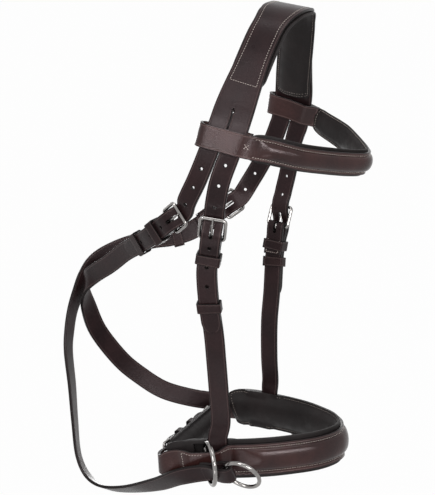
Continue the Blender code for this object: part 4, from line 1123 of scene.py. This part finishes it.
# %% A buckle
def buckle(tag, route, bar_a, direction=1):
    """A buckle lying on the route: its frame, and its tongue, which turns on bar B."""
    point, along, across, out = route.frame(bar_a + direction * BUCKLE_PITCH)
    slope = math.atan2(BAR_A_OUT - BAR_B_OUT, BUCKLE_PITCH)
    to_a = -direction * math.cos(slope) * along + math.sin(slope) * out
    up = (out - out.dot(to_a) * to_a).normalized()
    bar_b = point + BAR_B_OUT * out
    reach = math.hypot(BAR_A_OUT - BAR_B_OUT, BUCKLE_PITCH)
    points = outline(0.0, reach, -BUCKLE_HALF_WIDTH, BUCKLE_HALF_WIDTH, BUCKLE_CORNER)
    run = lengths([Vector(p) for p in points])
    deselect()
    bpy.ops.mesh.primitive_torus_add(major_segments=96, minor_segments=16, major_radius=1,
                                     minor_radius=BUCKLE_WIRE)
    frame_piece = bpy.context.object
    frame_piece.name = f"{tag}_buckle"
    for vertex in frame_piece.data.vertices:
        share = math.atan2(vertex.co.y, vertex.co.x) / math.tau % 1.0
        (u, w), (du, dw) = walk(points, run, share)
        side = math.hypot(vertex.co.x, vertex.co.y) - 1
        vertex.co = bar_b + (u + side * dw) * to_a + (w - side * du) * across + vertex.co.z * up
    smooth(frame_piece)
    fit(frame_piece, STEEL, f"{tag}_buckle_frame")
    curl = []
    for degrees in range(-50, -271, -22):  # most of the way round bar B, and up over it
        a = math.radians(degrees)
        curl.append(bar_b + TONGUE_CURL * (math.cos(a) * to_a + math.sin(a) * up))
    shaft = [bar_b + u * to_a + TONGUE_CURL * up for u in (reach / 4, reach / 2, reach, reach + TONGUE_OVERHANG)]
    tongue = drawn_rod(f"{tag}_tongue", curl + shaft, TONGUE_WIRE, tip=0.6)
    smooth(tongue)
    fit(tongue, STEEL, f"{tag}_buckle_tongue")


print("a buckle's opening is", round(2 * (BUCKLE_HALF_WIDTH - BUCKLE_WIRE) / MM, 1), "mm wide")

# %% [markdown]
# A keeper is a narrow strip bent round the straps, its ends butted underneath. It is cut
# flat like every strap and laid round the outline of what it holds.

# %% A keeper
KEEPER_STEP, KEEPER_SAME = 1.5 * MM, 0.05 * MM  # rows this far apart, and rows this close count as one


def keeper(name, route, s, low, high, node_name):
    """A leather loop, as long as a keeper is wide, round straps that lie between two heights."""
    grow = KEEPER_GAP + KEEPER / 2
    half = BILLET_WIDTH / 2
    ring = outline(low - grow, high + grow, -half - grow, half + grow, grow)
    around = [(w, n) for n, w in ring]
    middle = len(around) // 2
    around = around[middle:-1] + around[:middle + 1]
    run = lengths([Vector(p) for p in around])
    length = run[-1]

    def place(t, w, d):
        (across, height), (dw, dn) = walk(around, run, t / length)
        return route.place(s + KEEPER_LENGTH / 2 + w, across - d * dn, height + d * dw)

    edges = (-KEEPER_LENGTH / 2, KEEPER_LENGTH / 2)
    rows = sorted(set(spaced(0.0, length, KEEPER_STEP) + run))
    rows = [t for i, t in enumerate(rows) if i in (0, len(rows) - 1) or t - rows[i - 1] > KEEPER_SAME]
    strip = cut_strip(name, rows, even(4), lambda t: edges)
    thicken(strip, KEEPER, 0.3 * MM)
    mark_flat(strip, lambda t: edges, 0.0, length)
    lay_down(strip, place, KEEPER_LEATHER, node_name)


def keepers(tag, kind, route, fixed, sliding):
    """The stitched keeper behind a buckle, and the runner that slides along the strap."""
    keeper(f"{kind}_fixed_loop_{tag}", route, fixed, -CHAPE_LAYER - HALF, LAYER + HALF, f"{kind}_keeper_{tag}")
    keeper(f"{kind}_sliding_loop_{tag}", route, sliding, -HALF, LAYER + HALF, f"{kind}_runner_{tag}")


print("a keeper is", round(KEEPER_LENGTH / MM), "mm long and", round(KEEPER / MM, 1), "mm thick")

# %% [markdown]
# A ring is round wire, bent on a former and welded, so a torus has its shape. It is placed by
# the line that it swings about, because its joint turns on that line.

# %% A ring
def ring(name, hinge, axis, outward, radius, wire, node_name):
    """A round wire ring standing in the plane of its hinge axis."""
    deselect()
    bpy.ops.mesh.primitive_torus_add(major_segments=96, minor_segments=20, major_radius=radius, minor_radius=wire)
    piece = bpy.context.object
    piece.name = name
    centre = hinge + radius * outward
    for vertex in piece.data.vertices:
        x, y, z = vertex.co
        vertex.co = centre + x * outward + y * axis + z * outward.cross(axis)
    smooth(piece)
    fit(piece, STEEL, node_name)


print("rings across:", [round(2 * radius / MM, 1) for radius in (NOSE_RING_RADIUS, REIN_RING_RADIUS)], "mm")

# %% [markdown]
# ## Cheekpieces
# A cheekpiece hangs below its buckle. Its upper end is folded round the buckle's bar and
# stitched to itself, with a slot in the fold that lets the tongue through. That folded part
# is called the chape. Its lower end goes in behind the noseband.

# %% Straps with a buckle
BUCKLED_STEP = 2.2 * MM  # between rows, close enough for the tight fold round a bar
SEAM = 2.6 * MM  # from a strap's edge to its seam
SEAM_FROM_END = 2 * MM  # from a folded end to its seam


def full_width(t):
    return -BILLET_WIDTH / 2, BILLET_WIDTH / 2


def buckled_strap(name, lay, slots, node_name):
    """A plain strap of one width, punched where its folds carry a buckle, and laid along its path."""
    strip = cut_strip(name, spaced(0.0, lay.length(), BUCKLED_STEP), even(6), full_width)
    thicken(strip)
    punch(strip, slots=slots)
    mark_flat(strip, full_width, 0.0, lay.length())
    lay_down(strip, lay.place, STRAP_LEATHER, node_name)


def chape_slot(lay, bar):
    """The slot in the middle of the fold round a bar, as flat (t, w, half length, half width)."""
    low, high = lay.at(bar + CHAPE_SLOT), lay.at(bar + CHAPE_SLOT, last=True)
    return ((low + high) / 2, 0.0, (high - low) / 2, SLOT_HALF_WIDTH)


def chape_seams(start, end):
    """Two rows along a folded end, and one across it."""
    w = BILLET_WIDTH / 2 - SEAM
    return [[(start, w), (end, w)], [(start, -w), (end, -w)], [(start, -w), (start, w)]]


print("a chape's slot is cut", round(2 * SLOT_HALF_WIDTH / MM, 1), "mm wide")

# %% Cheekpieces
for side, tag in SIDES:
    route = FRONT[side]
    bar_b = route.at(2, CHEEK_BAR_A[side]) + BUCKLE_PITCH
    lay = Lay(route, fold_path(route.length(), bar_b, 1)[::-1])
    buckled_strap(f"cheek_strap_{tag}", lay, [chape_slot(lay, bar_b)], f"cheekpiece_{tag}")
    buckle(f"cheek_{tag}", route, bar_b - BUCKLE_PITCH)
    keepers(tag, "cheek", route, bar_b + KEEPER_PLACE, route.at(2, RUNNER_HEIGHT))
    near, far = lay.at(bar_b + CHAPE_RUN, last=True), lay.at(bar_b + CHAPE_TAIL - SEAM_FROM_END, last=True)
    sew(f"cheek_seams_{tag}", lay.place, chape_seams(far, near), HALF, "bridle")
    tail = lay.at(bar_b + CHAPE_RUN)
    sew(f"cheek_seams_behind_{tag}", lay.place, chape_seams(SEAM_FROM_END, tail), HALF, "bridle")
print("cheekpieces laid")

# %% [markdown]
# ## Cross-under straps
# Each of these leaves its buckle behind the cheek, runs down behind the jaw, crosses to
# the other side, passes through the noseband's ring there, and is folded round a rein ring.

# %% Cross-under straps
REIN_SEAM_END = 12 * MM  # from the rein ring's fold to the near end of its seam

for side, tag in SIDES:
    route = REAR[side]
    bar_b = route.at(2, CROSS_BAR_A[side]) + BUCKLE_PITCH
    fold = route.at(0, REIN_FOLD_X, last=True)
    middle = bar_b + CHAPE_TAIL
    path = fold_path(middle, bar_b, 1)[::-1]
    path += fold_path(middle, fold, -1, REIN_FOLD_RADIUS, REIN_FOLD_LENGTH, REIN_TAIL)[1:]
    lay = Lay(route, path)
    buckled_strap(f"cross_strap_{tag}", lay, [chape_slot(lay, bar_b)], f"cross_under_strap_{tag}")
    buckle(f"cross_under_{tag}", route, bar_b - BUCKLE_PITCH)
    keepers(tag, "cross_under", route, bar_b + KEEPER_PLACE, bar_b + CROSS_RUNNER_PLACE)
    sew(f"cross_under_seams_{tag}", lay.place, chape_seams(SEAM_FROM_END, lay.at(bar_b + CHAPE_RUN)), HALF,
        "bridle", DARK_THREAD)
    start, end = lay.at(fold - REIN_TAIL + SEAM_FROM_END), lay.at(fold - REIN_SEAM_END)
    sew(f"rein_end_seams_{tag}", lay.place, chape_seams(start, end), HALF, "bridle", DARK_THREAD)
    _, along, across, out = route.frame(fold + REIN_RING_PLACE)
    hinge = route.place(fold + REIN_RING_PLACE, 0.0, BAR_B_OUT)
    swing = math.radians(REIN_RING_SWING[side])
    far_side = "left" if side == RIGHT else "right"
    ring(f"rein_ring_wire_{far_side}", hinge, across, math.cos(swing) * along + math.sin(swing) * out,
         REIN_RING_RADIUS, REIN_RING_WIRE, f"rein_ring_{far_side}")
print("cross-under straps laid")

# %% [markdown]
# ## Noseband and browband
# Both bands are raised in front: a shaped core lies under the leather, and a seam on each
# side of it pulls the leather down, so that the middle stands up as a smooth rounded bar.
# The flat strip gets that bar as a rise of its outer face only.

# %% Raised bands
RAISED_HALF = 0.345  # half width of the raised bar, as a share of the band's width
SEAM_PLACE = 0.375  # where the seam runs beside it
SEAM_SPREAD, SEAM_SINK = 0.012, 0.25 * MM  # half width of the seam's groove as a share, and its depth
ACROSS = (0.0, 0.07, 0.14, 0.20, 0.25, 0.29, 0.32, 0.338, 0.35, 0.375, 0.40, 0.43, 0.465, 0.5)
BAND_COLUMNS = [0.5 - u for u in reversed(ACROSS)] + [0.5 + u for u in ACROSS[1:]]


def raise_middle(strip, width, rise):
    """Lifts the outer face of a thick flat strip into a rounded bar, with a shallow groove for the seam."""
    for vertex in strip.data.vertices:
        t, w, d = vertex.co
        share = abs(w) / (width(t) * RAISED_HALF)
        if d <= 0:
            continue
        if share < 1:
            vertex.co.z += rise(t) * math.sqrt(1 - share * share)
        elif abs(abs(w) / width(t) - SEAM_PLACE) < SEAM_SPREAD:
            vertex.co.z -= SEAM_SINK * min(rise(t) / MM, 1.0)


def gutter(width):
    """The line of the seam beside the raised bar."""
    return lambda t: width(t) * SEAM_PLACE


print("the raised bar takes", round(200 * RAISED_HALF), "% of a band's width")

# %% The noseband's width, rise and way
TOTAL, RING_S = GIRTH.length(), GIRTH.at(0, RING_X)


def near_chin(s):
    """Distance from the chin's middle, along either side."""
    return min(s, TOTAL - s)


def nose_width(s):
    """From the tip at the chin to the full height in front."""
    wide = BILLET_WIDTH + (NOSE_REAR_HEIGHT - BILLET_WIDTH) * ramp(near_chin(s), CORNER, CORNER + REAR_WIDENS)
    start, end = TUNNEL_WIDENS_BACK
    wide -= (NOSE_REAR_HEIGHT - NOSE_TUNNEL_HEIGHT) * ramp(near_chin(s), RING_S - end, RING_S - start)
    start, end = TUNNEL_WIDENS_FRONT
    wide += (NOSE_HEIGHT - NOSE_TUNNEL_HEIGHT) * ramp(near_chin(s), RING_S + start, RING_S + end)
    return wide * pointed(near_chin(s) - CHIN_TIP) / BILLET_WIDTH


def nose_rise(s):
    """How high the raised bar stands, swelling forward of the ring."""
    start, end = NOSE_RAISE_PLACE
    return NOSE_RAISE * ramp(near_chin(s), RING_S + start, RING_S + end)


lead = [(CORNER + CORNER_RUN, 0.0), (CORNER, CORNER_BULGE)]
half_path = billet_places(CHIN_BAR_A, CHIN_TIP, -1, lead)[::-1]
half_path += [(RING_S - TUNNEL_REACH - TUNNEL_RUN, 0.0), (RING_S - TUNNEL_REACH, TUNNEL_BULGE),
              (RING_S + TUNNEL_REACH, TUNNEL_BULGE), (RING_S + TUNNEL_REACH + TUNNEL_RUN, 0.0)]
NOSE = Lay(GIRTH, eased(half_path + [(TOTAL - s, n) for s, n in reversed(half_path)]))


def nose_wide(t):
    return nose_width(NOSE.spot(t)[0])


def nose_edges(t):
    return -nose_wide(t) / 2, nose_wide(t) / 2


print("noseband", round(2 * nose_edges(NOSE.length() / 2)[1] / MM), "mm high in front")

# %% Noseband strap
length = NOSE.length()
rows = spaced(0.0, TIP, MM)[:-1] + spaced(TIP, length - TIP)[:-1] + spaced(length - TIP, length, MM)
strip = cut_strip("noseband", rows, BAND_COLUMNS, nose_edges)
thicken(strip)
raise_middle(strip, nose_wide, lambda t: nose_rise(NOSE.spot(t)[0]))
slots = []
for bar, hand in ((CHIN_BAR_A, -1), (TOTAL - CHIN_BAR_A, 1)):
    ends = [NOSE.at(bar + hand * x) for x in TONGUE_SLOT]
    slots.append((sum(ends) / 2, 0.0, abs(ends[1] - ends[0]) / 2, SLOT_HALF_WIDTH))
punch(strip, slots=slots)
mark_flat(strip, nose_edges, 0.0, length)
lay_down(strip, NOSE.place, BAND_LEATHER, "noseband_strap")
print("noseband", round(length / MM), "mm long, cut flat")

# %% The noseband's seams, rings and buckles
NOSE_SEAM_FRONT = 16 * MM  # from the ring forward to the seams beside the raised bar
NOSE_SEAM_REAR = (20 * MM, 1 * MM)  # from the ring back to both ends of the rear seams
NOSE_SEAM_IN = 2.8 * MM  # from the edges to the rear seams

front = [NOSE.at(RING_S + NOSE_SEAM_FRONT), NOSE.at(TOTAL - RING_S - NOSE_SEAM_FRONT)]
rear = [NOSE.at(RING_S - x) for x in NOSE_SEAM_REAR]
beside = gutter(nose_wide)
lines = [edge_line(*front, beside), edge_line(*front, lambda t: -beside(t))]
for start, end in (rear, [length - t for t in rear]):
    lines += [edge_line(start, end, lambda t: nose_wide(t) / 2 - NOSE_SEAM_IN),
              edge_line(start, end, lambda t: -nose_wide(t) / 2 + NOSE_SEAM_IN)]
    half = nose_wide(start) / 2 - NOSE_SEAM_IN
    lines.append([(start, -half), (start, half)])
sew("noseband_stitches", NOSE.place, lines, HALF, "bridle")
for side, tag in SIDES:
    last = side == LEFT
    at = GIRTH.at(0, RING_X, last)
    buckle(f"chin_{tag}", GIRTH, TOTAL - CHIN_BAR_A if last else CHIN_BAR_A, side)
    _, along, across, out = GIRTH.frame(at)
    swing = math.radians(NOSE_RING_SWING[side])
    ring(f"noseband_ring_wire_{tag}", GIRTH.place(at, NOSE_RING_RAISE[side], TUNNEL_BULGE - NOSE_RING_IN), across,
         math.cos(swing) * out - side * math.sin(swing) * along, NOSE_RING_RADIUS, NOSE_RING_WIRE,
         f"noseband_ring_{tag}")
print("noseband rings hung")

# %% [markdown]
# ### Chin strap
# Behind the chin a plain strap joins the noseband's two billets. It is folded round a buckle
# at either end, so its path turns back twice, and one keeper stands near each buckle.

# %% Chin strap
bar_b = CHIN_BAR_A - BUCKLE_PITCH
right = fold_path(0.0, bar_b, -1, tail=CHIN_TAIL)
left = fold_path(0.0, -bar_b, 1, tail=CHIN_TAIL)
CHIN = Lay(GIRTH, right[::-1] + left[1:], face=-1)


def fold_slot(lay, bar):
    """The slot round a fold at one end of a path that turns back there."""
    reach = bar - math.copysign(CHAPE_SLOT, bar)
    near = [lay.run[i] for i, (s, _) in enumerate(lay.path) if abs(s) > abs(reach) and s * bar > 0]
    return (min(near) + max(near)) / 2, 0.0, (max(near) - min(near)) / 2, SLOT_HALF_WIDTH


buckled_strap("chin_back_strap", CHIN, [fold_slot(CHIN, bar_b), fold_slot(CHIN, -bar_b)], "chin_strap")
for start, tag in ((CHIN_KEEPER, "right"), (-CHIN_KEEPER - KEEPER_LENGTH, "left")):
    keeper(f"chin_loop_{tag}", GIRTH, start, -CHAPE_LAYER - HALF, LAYER + HALF, f"chin_keeper_{tag}")
print("chin strap", round(CHIN.length() / MM), "mm, cut flat")

# %% [markdown]
# ### Browband
# The browband ends in a loop at each side, which the headpiece is threaded through. The end
# of the loop comes back behind the band and is sewn to it with two crossed rows.

# %% The browband's way, width and rise
TOTAL_BROW, LINING_PLACE = BROW.length(), BROW.at(0, BROW_LINING_X)
# The loop's inner end comes in behind the band, this far behind its own route's line.
LOOP_END, LOOP_LEAVES, LOOP_BEHIND = BROW.at(0, -3 * MM), BROW.at(0, -17 * MM), -6.6 * MM
BROW_LAY = Lay(BROW, eased([(LOOP_END, LOOP_BEHIND), (LOOP_LEAVES, 0.0), (TOTAL_BROW - LOOP_LEAVES, 0.0),
                            (TOTAL_BROW - LOOP_END, LOOP_BEHIND)]))
BAR_START = (-22 * MM, -6 * MM)  # where the raised bar swells, from the CAD lining's end


def brow_width(t):
    return BROW_HEIGHT


def brow_edges(t):
    return -BROW_HEIGHT / 2, BROW_HEIGHT / 2


def brow_rise(t):
    """How high the raised bar stands, swelling forward of the loops."""
    s = BROW_LAY.spot(t)[0]
    low, high = BAR_START
    return BROW_RAISE * ramp(min(s, TOTAL_BROW - s), LINING_PLACE + low, LINING_PLACE + high)


print("raised bar", round((TOTAL_BROW - 2 * (LINING_PLACE + BAR_START[0])) / MM), "mm long")

# %% Browband strap and its seams
BROW_SEAM_START = BAR_START[0] - 3 * MM  # from the CAD lining's end to the seams beside the bar
CROSSED_PLACE, CROSSED_HALF = 6.5 * MM, 2.3 * MM  # from there to the crossed rows, and half their size

length = BROW_LAY.length()
strip = cut_strip("browband", spaced(0.0, length, 2 * MM), BAND_COLUMNS, brow_edges)
thicken(strip)
raise_middle(strip, brow_width, brow_rise)
mark_flat(strip, brow_edges, 0.0, length)
lay_down(strip, BROW_LAY.place, BAND_LEATHER, "browband_strap")
start = BROW_LAY.at(LINING_PLACE + BROW_SEAM_START)
beside, cross = gutter(brow_width), CROSSED_HALF
lines = [edge_line(start, length - start, beside), edge_line(start, length - start, lambda t: -beside(t))]
for middle in (start - CROSSED_PLACE, length - start + CROSSED_PLACE):
    lines += [[(middle - cross, -cross), (middle + cross, cross)],
              [(middle - cross, cross), (middle + cross, -cross)]]
sew("browband_stitches", BROW_LAY.place, lines, HALF, BODY_OF["browband_strap"])
print("browband", round(length / MM), "mm long, cut flat")

# %% [markdown]
# ## Padding
# Behind the crown, the browband, the noseband and the chin strap lie soft linings: foam
# covered with thin leather. The back that is sewn to the strap is flat, a thin flange runs
# round the border, and the side that touches the horse is full and rounded. The flat
# cushion is cut and sewn as a grid, crowned in the middle, and then swollen for a moment as
# cloth under a little pressure, with its seams pinned, which draws the small puckers there.

# %% A cushion's section
FLANGE = 0.28  # the flange's thickness, as a share of the pad's
PAD_SHAPE = [(0.0, 1.0), (0.08, 1.0), (0.16, 0.97), (0.22, 0.92), (0.28, 0.80), (0.34, 0.62), (0.38, 0.42),
             (0.42, FLANGE), (0.50, FLANGE)]  # share of the width from the middle, and share of the thickness


def fullness(u):
    """How thick the pad is, as a share, at a share of the width from its middle."""
    for (u0, f0), (u1, f1) in zip(PAD_SHAPE, PAD_SHAPE[1:]):
        if u <= u1:
            return f0 + (f1 - f0) * (u - u0) / (u1 - u0)
    return FLANGE


print("half way out, a cushion is", round(100 * fullness(0.25)), "% full")

# %% Swelling a cover over its foam
PRESSURE, MOMENTS = 12.0, 10  # how hard the foam presses, and for how many frames
SWELL_LIMIT = 1.2 * MM


def swell(piece, sewn, limit):
    """Lets cloth simulation blow the cover up. Sewn points stay, and no point moves beyond the limit."""
    before = [vertex.co.copy() for vertex in piece.data.vertices]
    group = piece.vertex_groups.new(name="sewn")
    group.add(sewn, 1.0, "REPLACE")
    cloth = piece.modifiers.new("cloth", "CLOTH")
    cloth.settings.use_pressure, cloth.settings.uniform_pressure_force = True, PRESSURE
    cloth.settings.vertex_group_mass = "sewn"
    cloth.settings.effector_weights.gravity = 0.0
    cloth.collision_settings.use_collision = False
    for step in range(1, MOMENTS + 1):
        bpy.context.scene.frame_set(step)
    apply_all(piece)
    bpy.context.scene.frame_set(1)
    piece.vertex_groups.clear()
    moved = 0.0
    for vertex, old in zip(piece.data.vertices, before):
        move = vertex.co - old
        moved = max(moved, move.length)
        if move.length > limit:
            vertex.co = old + move * (limit / move.length)
    print(piece.name, "swelled by", round(moved / MM, 1), "mm before the limit")


print("no cover swells by more than", round(SWELL_LIMIT / MM, 1), "mm")

# %% [markdown]
# A lining gives way to what lies between it and its strap: the end of a cheekpiece, and the
# inner half of a ring. A box is cut out for each, and the cover bulges over the box, so that
# no hole opens in the thin flange.

# %% A lining
COVER, EASE = 0.8 * MM, 3 * MM  # what is left of a lining over a box, and how gently it rises to it
END_WIDTH, END_THICKNESS = 0.72, 0.36  # of a lining's rounded ends, as shares of the whole
FLANGE_CUT = 0.8  # how thick the flange is cut, as a share of how it ends up
SEWN_END = 9 * MM  # how far in from its ends a lining is held while it swells
LINING_COLUMNS, LINING_STEP, LINING_END_STEP = 24, 3 * MM, 1.2 * MM


def lining(name, route, start, end, back, width, thick, node_name, rounding=14 * MM, cuts=()):
    """A soft lining behind a strap, with rounded ends and boxes (t0, t1, w0, w1, d0, d1) cut out."""
    def full(t):
        """0 at the lining's ends, 1 where they are no longer rounded."""
        share = min((t - start) / rounding, (end - t) / rounding, 1.0)
        return math.sqrt(max(0.0, 1 - (1 - share) ** 2))

    def edges(t):
        half = width(t) * (END_WIDTH + (1 - END_WIDTH) * full(t)) / 2
        return -half, half

    def surface(t, w):
        """The depth of the side that touches the horse. It bulges wherever a box is cut behind it."""
        depth = thick * (END_THICKNESS + (1 - END_THICKNESS) * full(t)) * fullness(abs(w) / (2 * edges(t)[1]))
        for t0, t1, w0, w1, floor_depth, _ in cuts:
            along = ramp(max(t0 - t, t - t1), EASE, 4 * EASE)
            across = ramp(max(w0 - w, w - w1), EASE, 2 * EASE)
            depth = max(depth, (COVER - floor_depth) * (1 - along) * (1 - across))
        return -depth

    rows = (spaced(start, start + rounding, LINING_END_STEP)[:-1]
            + spaced(start + rounding, end - rounding, LINING_STEP)[:-1]
            + spaced(end - rounding, end, LINING_END_STEP))
    strip = cut_strip(name, rows, even(LINING_COLUMNS), edges)
    flange = FLANGE * thick * FLANGE_CUT
    thicken(strip, flange, 0.3 * flange, offset=-1.0)
    for vertex in strip.data.vertices:
        t, w, d = vertex.co
        if d < -0.6 * flange:
            vertex.co.z = min(d, surface(t, w))
    tools = []
    for t0, t1, w0, w1, d0, d1 in cuts:
        deselect()
        bpy.ops.mesh.primitive_cube_add(size=1, location=((t0 + t1) / 2, (w0 + w1) / 2, (d0 + d1) / 2),
                                        scale=(t1 - t0, w1 - w0, d1 - d0))
        tools.append(bpy.context.object)
    if tools:
        carve(strip, tools, slit=True)

    sewn = [vertex.index for vertex in strip.data.vertices
            if vertex.co.z > -thick * FLANGE * 1.1 or min(vertex.co.x - start, end - vertex.co.x) < SEWN_END]

    def place(t, w, d):
        return route.place(t, w, d - back)

    lay_down(strip, place, LINING, node_name)
    swell(strip, sewn, SWELL_LIMIT)
    return place, edges, surface


print("linings have", LINING_COLUMNS, "columns, and rows every", round(LINING_STEP / MM), "mm")

# %% A lining's seams
BORDER_ROW, CROSS_ROW = 0.88, 0.84  # how far out the seams run and reach, as shares of half the width


def lining_seams(name, made, start, end, node_name, thread, across=(), gaps=()):
    """The seam round a lining's border, and rows across it, on the side that touches the horse."""
    place, edges, surface = made
    lines = [[(t, w * edges(t)[1]) for w in spaced(-CROSS_ROW, CROSS_ROW, 0.1)] for t in (start, end, *across)]
    lines.append([(t, -BORDER_ROW * edges(t)[1]) for t in spaced(start, end, 3 * MM)])
    stops = [start, *[t for gap in gaps for t in gap], end]
    for first, last in zip(stops[::2], stops[1::2]):
        lines.append([(t, BORDER_ROW * edges(t)[1]) for t in spaced(first, last, 3 * MM)])
    sew(name, place, lines, surface, BODY_OF[node_name], thread)


print("a lining's seams run", round(100 * BORDER_ROW), "% of the way out")

# %% The crown's lining
CROWN_LINING_DROP = 5 * MM  # how much lower it reaches on the right than the CAD pad
CROWN_LINING_MORE = 1 * MM  # how much wider it is than the CAD pad
CROWN_SEAM_IN, CROWN_SECOND_ROW = 4 * MM, 3.5 * MM  # from its ends to a row, and from there to the next
BACK = HALF + PAD_GAP  # from the middle of a strap in to its lining

crown_ends = [CROWN.at(2, CROWN_PAD_END[side], last=side == LEFT) for side, _ in SIDES]
crown_ends[0] -= CROWN_LINING_DROP


def crown_pad_width(t):
    """The pad narrows with the crown and stays narrow down to its ends."""
    start, full, _, _ = CROWN_WAIST_PLACE
    return CROWN_WIDTH - CROWN_WAIST * ramp(abs(t), start, full) + CROWN_PAD_MARGIN + CROWN_LINING_MORE


made = lining("crown_lining", CROWN, *crown_ends, BACK, crown_pad_width, CROWN_PAD, "crown_pad", 10 * MM)
start, end = crown_ends[0] + CROWN_SEAM_IN, crown_ends[1] - CROWN_SEAM_IN
lining_seams("crown_lining_seam", made, start, end, "crown_pad", LINING_THREAD,
             (start + CROWN_SECOND_ROW, end - CROWN_SECOND_ROW))
print("crown lining", round((crown_ends[1] - crown_ends[0]) / MM), "mm long")

# %% The browband's lining
BROW_LINING_MORE = 28 * MM  # how much longer it is at each end than the CAD lining
BORDER = 6 * MM  # from a band lining's ends to its seam

start, end = LINING_PLACE - BROW_LINING_MORE, TOTAL_BROW - LINING_PLACE + BROW_LINING_MORE
made = lining("browband_backing", BROW, start, end, BACK, lambda t: BROW_PAD_HEIGHT, BROW_PAD, "browband_lining")
lining_seams("browband_backing_seam", made, start + BORDER, end - BORDER, "browband_lining", THREAD)
print("browband lining", round((end - start) / MM), "mm long")

# %% The noseband's lining
CHEEK_HALF = BILLET_WIDTH / 2 + 0.7 * MM  # half width of the box for a cheekpiece's end
SPARE = 0.8 * MM  # the swollen cover fills this much of a groove again, and the ring has to swing in it
GROOVE_DEEPER = 0.6 * MM  # how much further in a groove goes than its tunnel bulges out

cuts, gaps = [], []
reach, height = (size + SPARE for size in RING_GROOVE)
floor_depth = BACK - TUNNEL_BULGE - GROOVE_DEEPER - SPARE / 2
beside = CHEEK_HALF + 1 * MM  # where the lining's seam stops beside a cheekpiece's end
for side, _ in SIDES:
    at, cheek_at = GIRTH.at(0, RING_X, side == LEFT), GIRTH.at(0, CHEEK_X, side == LEFT)
    cuts.append((at - reach, at + reach, -height, height, floor_depth, LEATHER))
    cuts.append((cheek_at - CHEEK_HALF, cheek_at + CHEEK_HALF, CHEEK_END[-1] - 0.5 * MM, NOSE_PAD_HEIGHT,
                 BACK - CHEEK_LAYER - HALF - 2 * GAP, LEATHER))
    gaps.append((cheek_at - beside, cheek_at + beside))
start, end = NOSE_LINING_START, TOTAL - NOSE_LINING_START
made = lining("noseband_backing", GIRTH, start, end, BACK, lambda t: NOSE_PAD_HEIGHT, NOSE_PAD, "noseband_lining",
              cuts=cuts)
lining_seams("noseband_backing_seam", made, start + BORDER, end - BORDER, "noseband_lining", LINING_THREAD,
             gaps=gaps)
print("noseband lining", round((end - start) / MM), "mm long, with", len(cuts), "boxes cut out")

# %% The chin's pad
lining("chin_backing", GIRTH, -CHIN_PAD_REACH, CHIN_PAD_REACH, CHIN_PAD_BACK, lambda t: CHIN_PAD_HEIGHT, CHIN_PAD,
       "chin_pad", 10 * MM)
print("chin pad", round(2 * CHIN_PAD_REACH / MM), "mm long")

# %% [markdown]
# ## Room
# A plain pale floor lies well below and runs off to a white background. Two large soft
# lamps stand left and right of the camera. Their mirror images are the long highlights
# on the raised bands. Weaker ones from above, below and behind fill the other sides.

# %% The floor
FLOOR_SIZE, FLOOR_HEIGHT, FLOOR_WHITE = 80, -1.5, 0.98  # metres, and the share that the camera sees as white

deselect()
bpy.ops.mesh.primitive_plane_add(size=FLOOR_SIZE, location=(0, 0, FLOOR_HEIGHT))
floor = bpy.context.object
floor.name = "floor"


def seen_directly(tree):
    """1 for rays from the camera and from mirrors, and 0 for the light that falls on the bridle."""
    path = node(tree, "ShaderNodeLightPath")
    return maths(tree, "MAXIMUM", path.outputs["Is Camera Ray"], path.outputs["Is Glossy Ray"])


def pale_floor(name):
    """Pale grey for light, and white for the camera apart from the shadows on it."""
    made, tree, shader, _ = new_material(name)
    shader.inputs["Base Color"].default_value = colour("#e6e6e6")
    shader.inputs["Roughness"].default_value = 0.9
    white = node(tree, "ShaderNodeEmission", Color=(1, 1, 1, 1), Strength=1.0)
    share = maths(tree, "MULTIPLY", seen_directly(tree), FLOOR_WHITE)
    mixed = node(tree, "ShaderNodeMixShader", i0=share, i1=shader.outputs[0], i2=white.outputs[0])
    tree.links.new(mixed.outputs[0], tree.nodes["Material Output"].inputs["Surface"])
    return made


floor.data.materials.append(pale_floor("pale studio floor"))
print("floor", FLOOR_SIZE, "m wide,", -FLOOR_HEIGHT, "m below the poll")

# %% The white world
FILL_LIGHT, WHITE = 0.25, 1.0  # the world's strength on the bridle, and as the camera sees it

world = bpy.data.worlds.new("studio")
bpy.context.scene.world = world
world.use_nodes = True
tree = world.node_tree
sky = tree.nodes["Background"]
sky.inputs["Color"].default_value = (1, 1, 1, 1)
tree.links.new(remap(tree, seen_directly(tree), 0.0, 1.0, FILL_LIGHT, WHITE), sky.inputs["Strength"])
print("world:", world.name)

# %% Lamps
def lamp(name, place, width, height, watts):
    """A soft lamp, sized in metres, that faces the bridle's middle."""
    light = bpy.data.lights.new(name, "AREA")
    light.shape, light.size, light.size_y, light.energy = "RECTANGLE", width, height, watts
    obj = bpy.data.objects.new(name, light)
    bpy.context.scene.collection.objects.link(obj)
    obj.location = place
    obj.rotation_euler = (Vector(place) - LOOKS_AT).to_track_quat("Z", "Y").to_euler()


lamp("left", (-0.5, -1.6, 0.66), 0.4, 0.7, 14)
lamp("right", (1.02, -1.47, 0.2), 1.1, 0.3, 19)
lamp("low", (0.02, -1.66, -1.07), 0.8, 0.4, 3)
lamp("behind", (-0.9, 1.5, -0.5), 0.9, 0.9, 9)
lamp("top", (0.1, -0.3, 1.5), 0.8, 0.8, 10)
bpy.context.scene.view_settings.view_transform = "Standard"
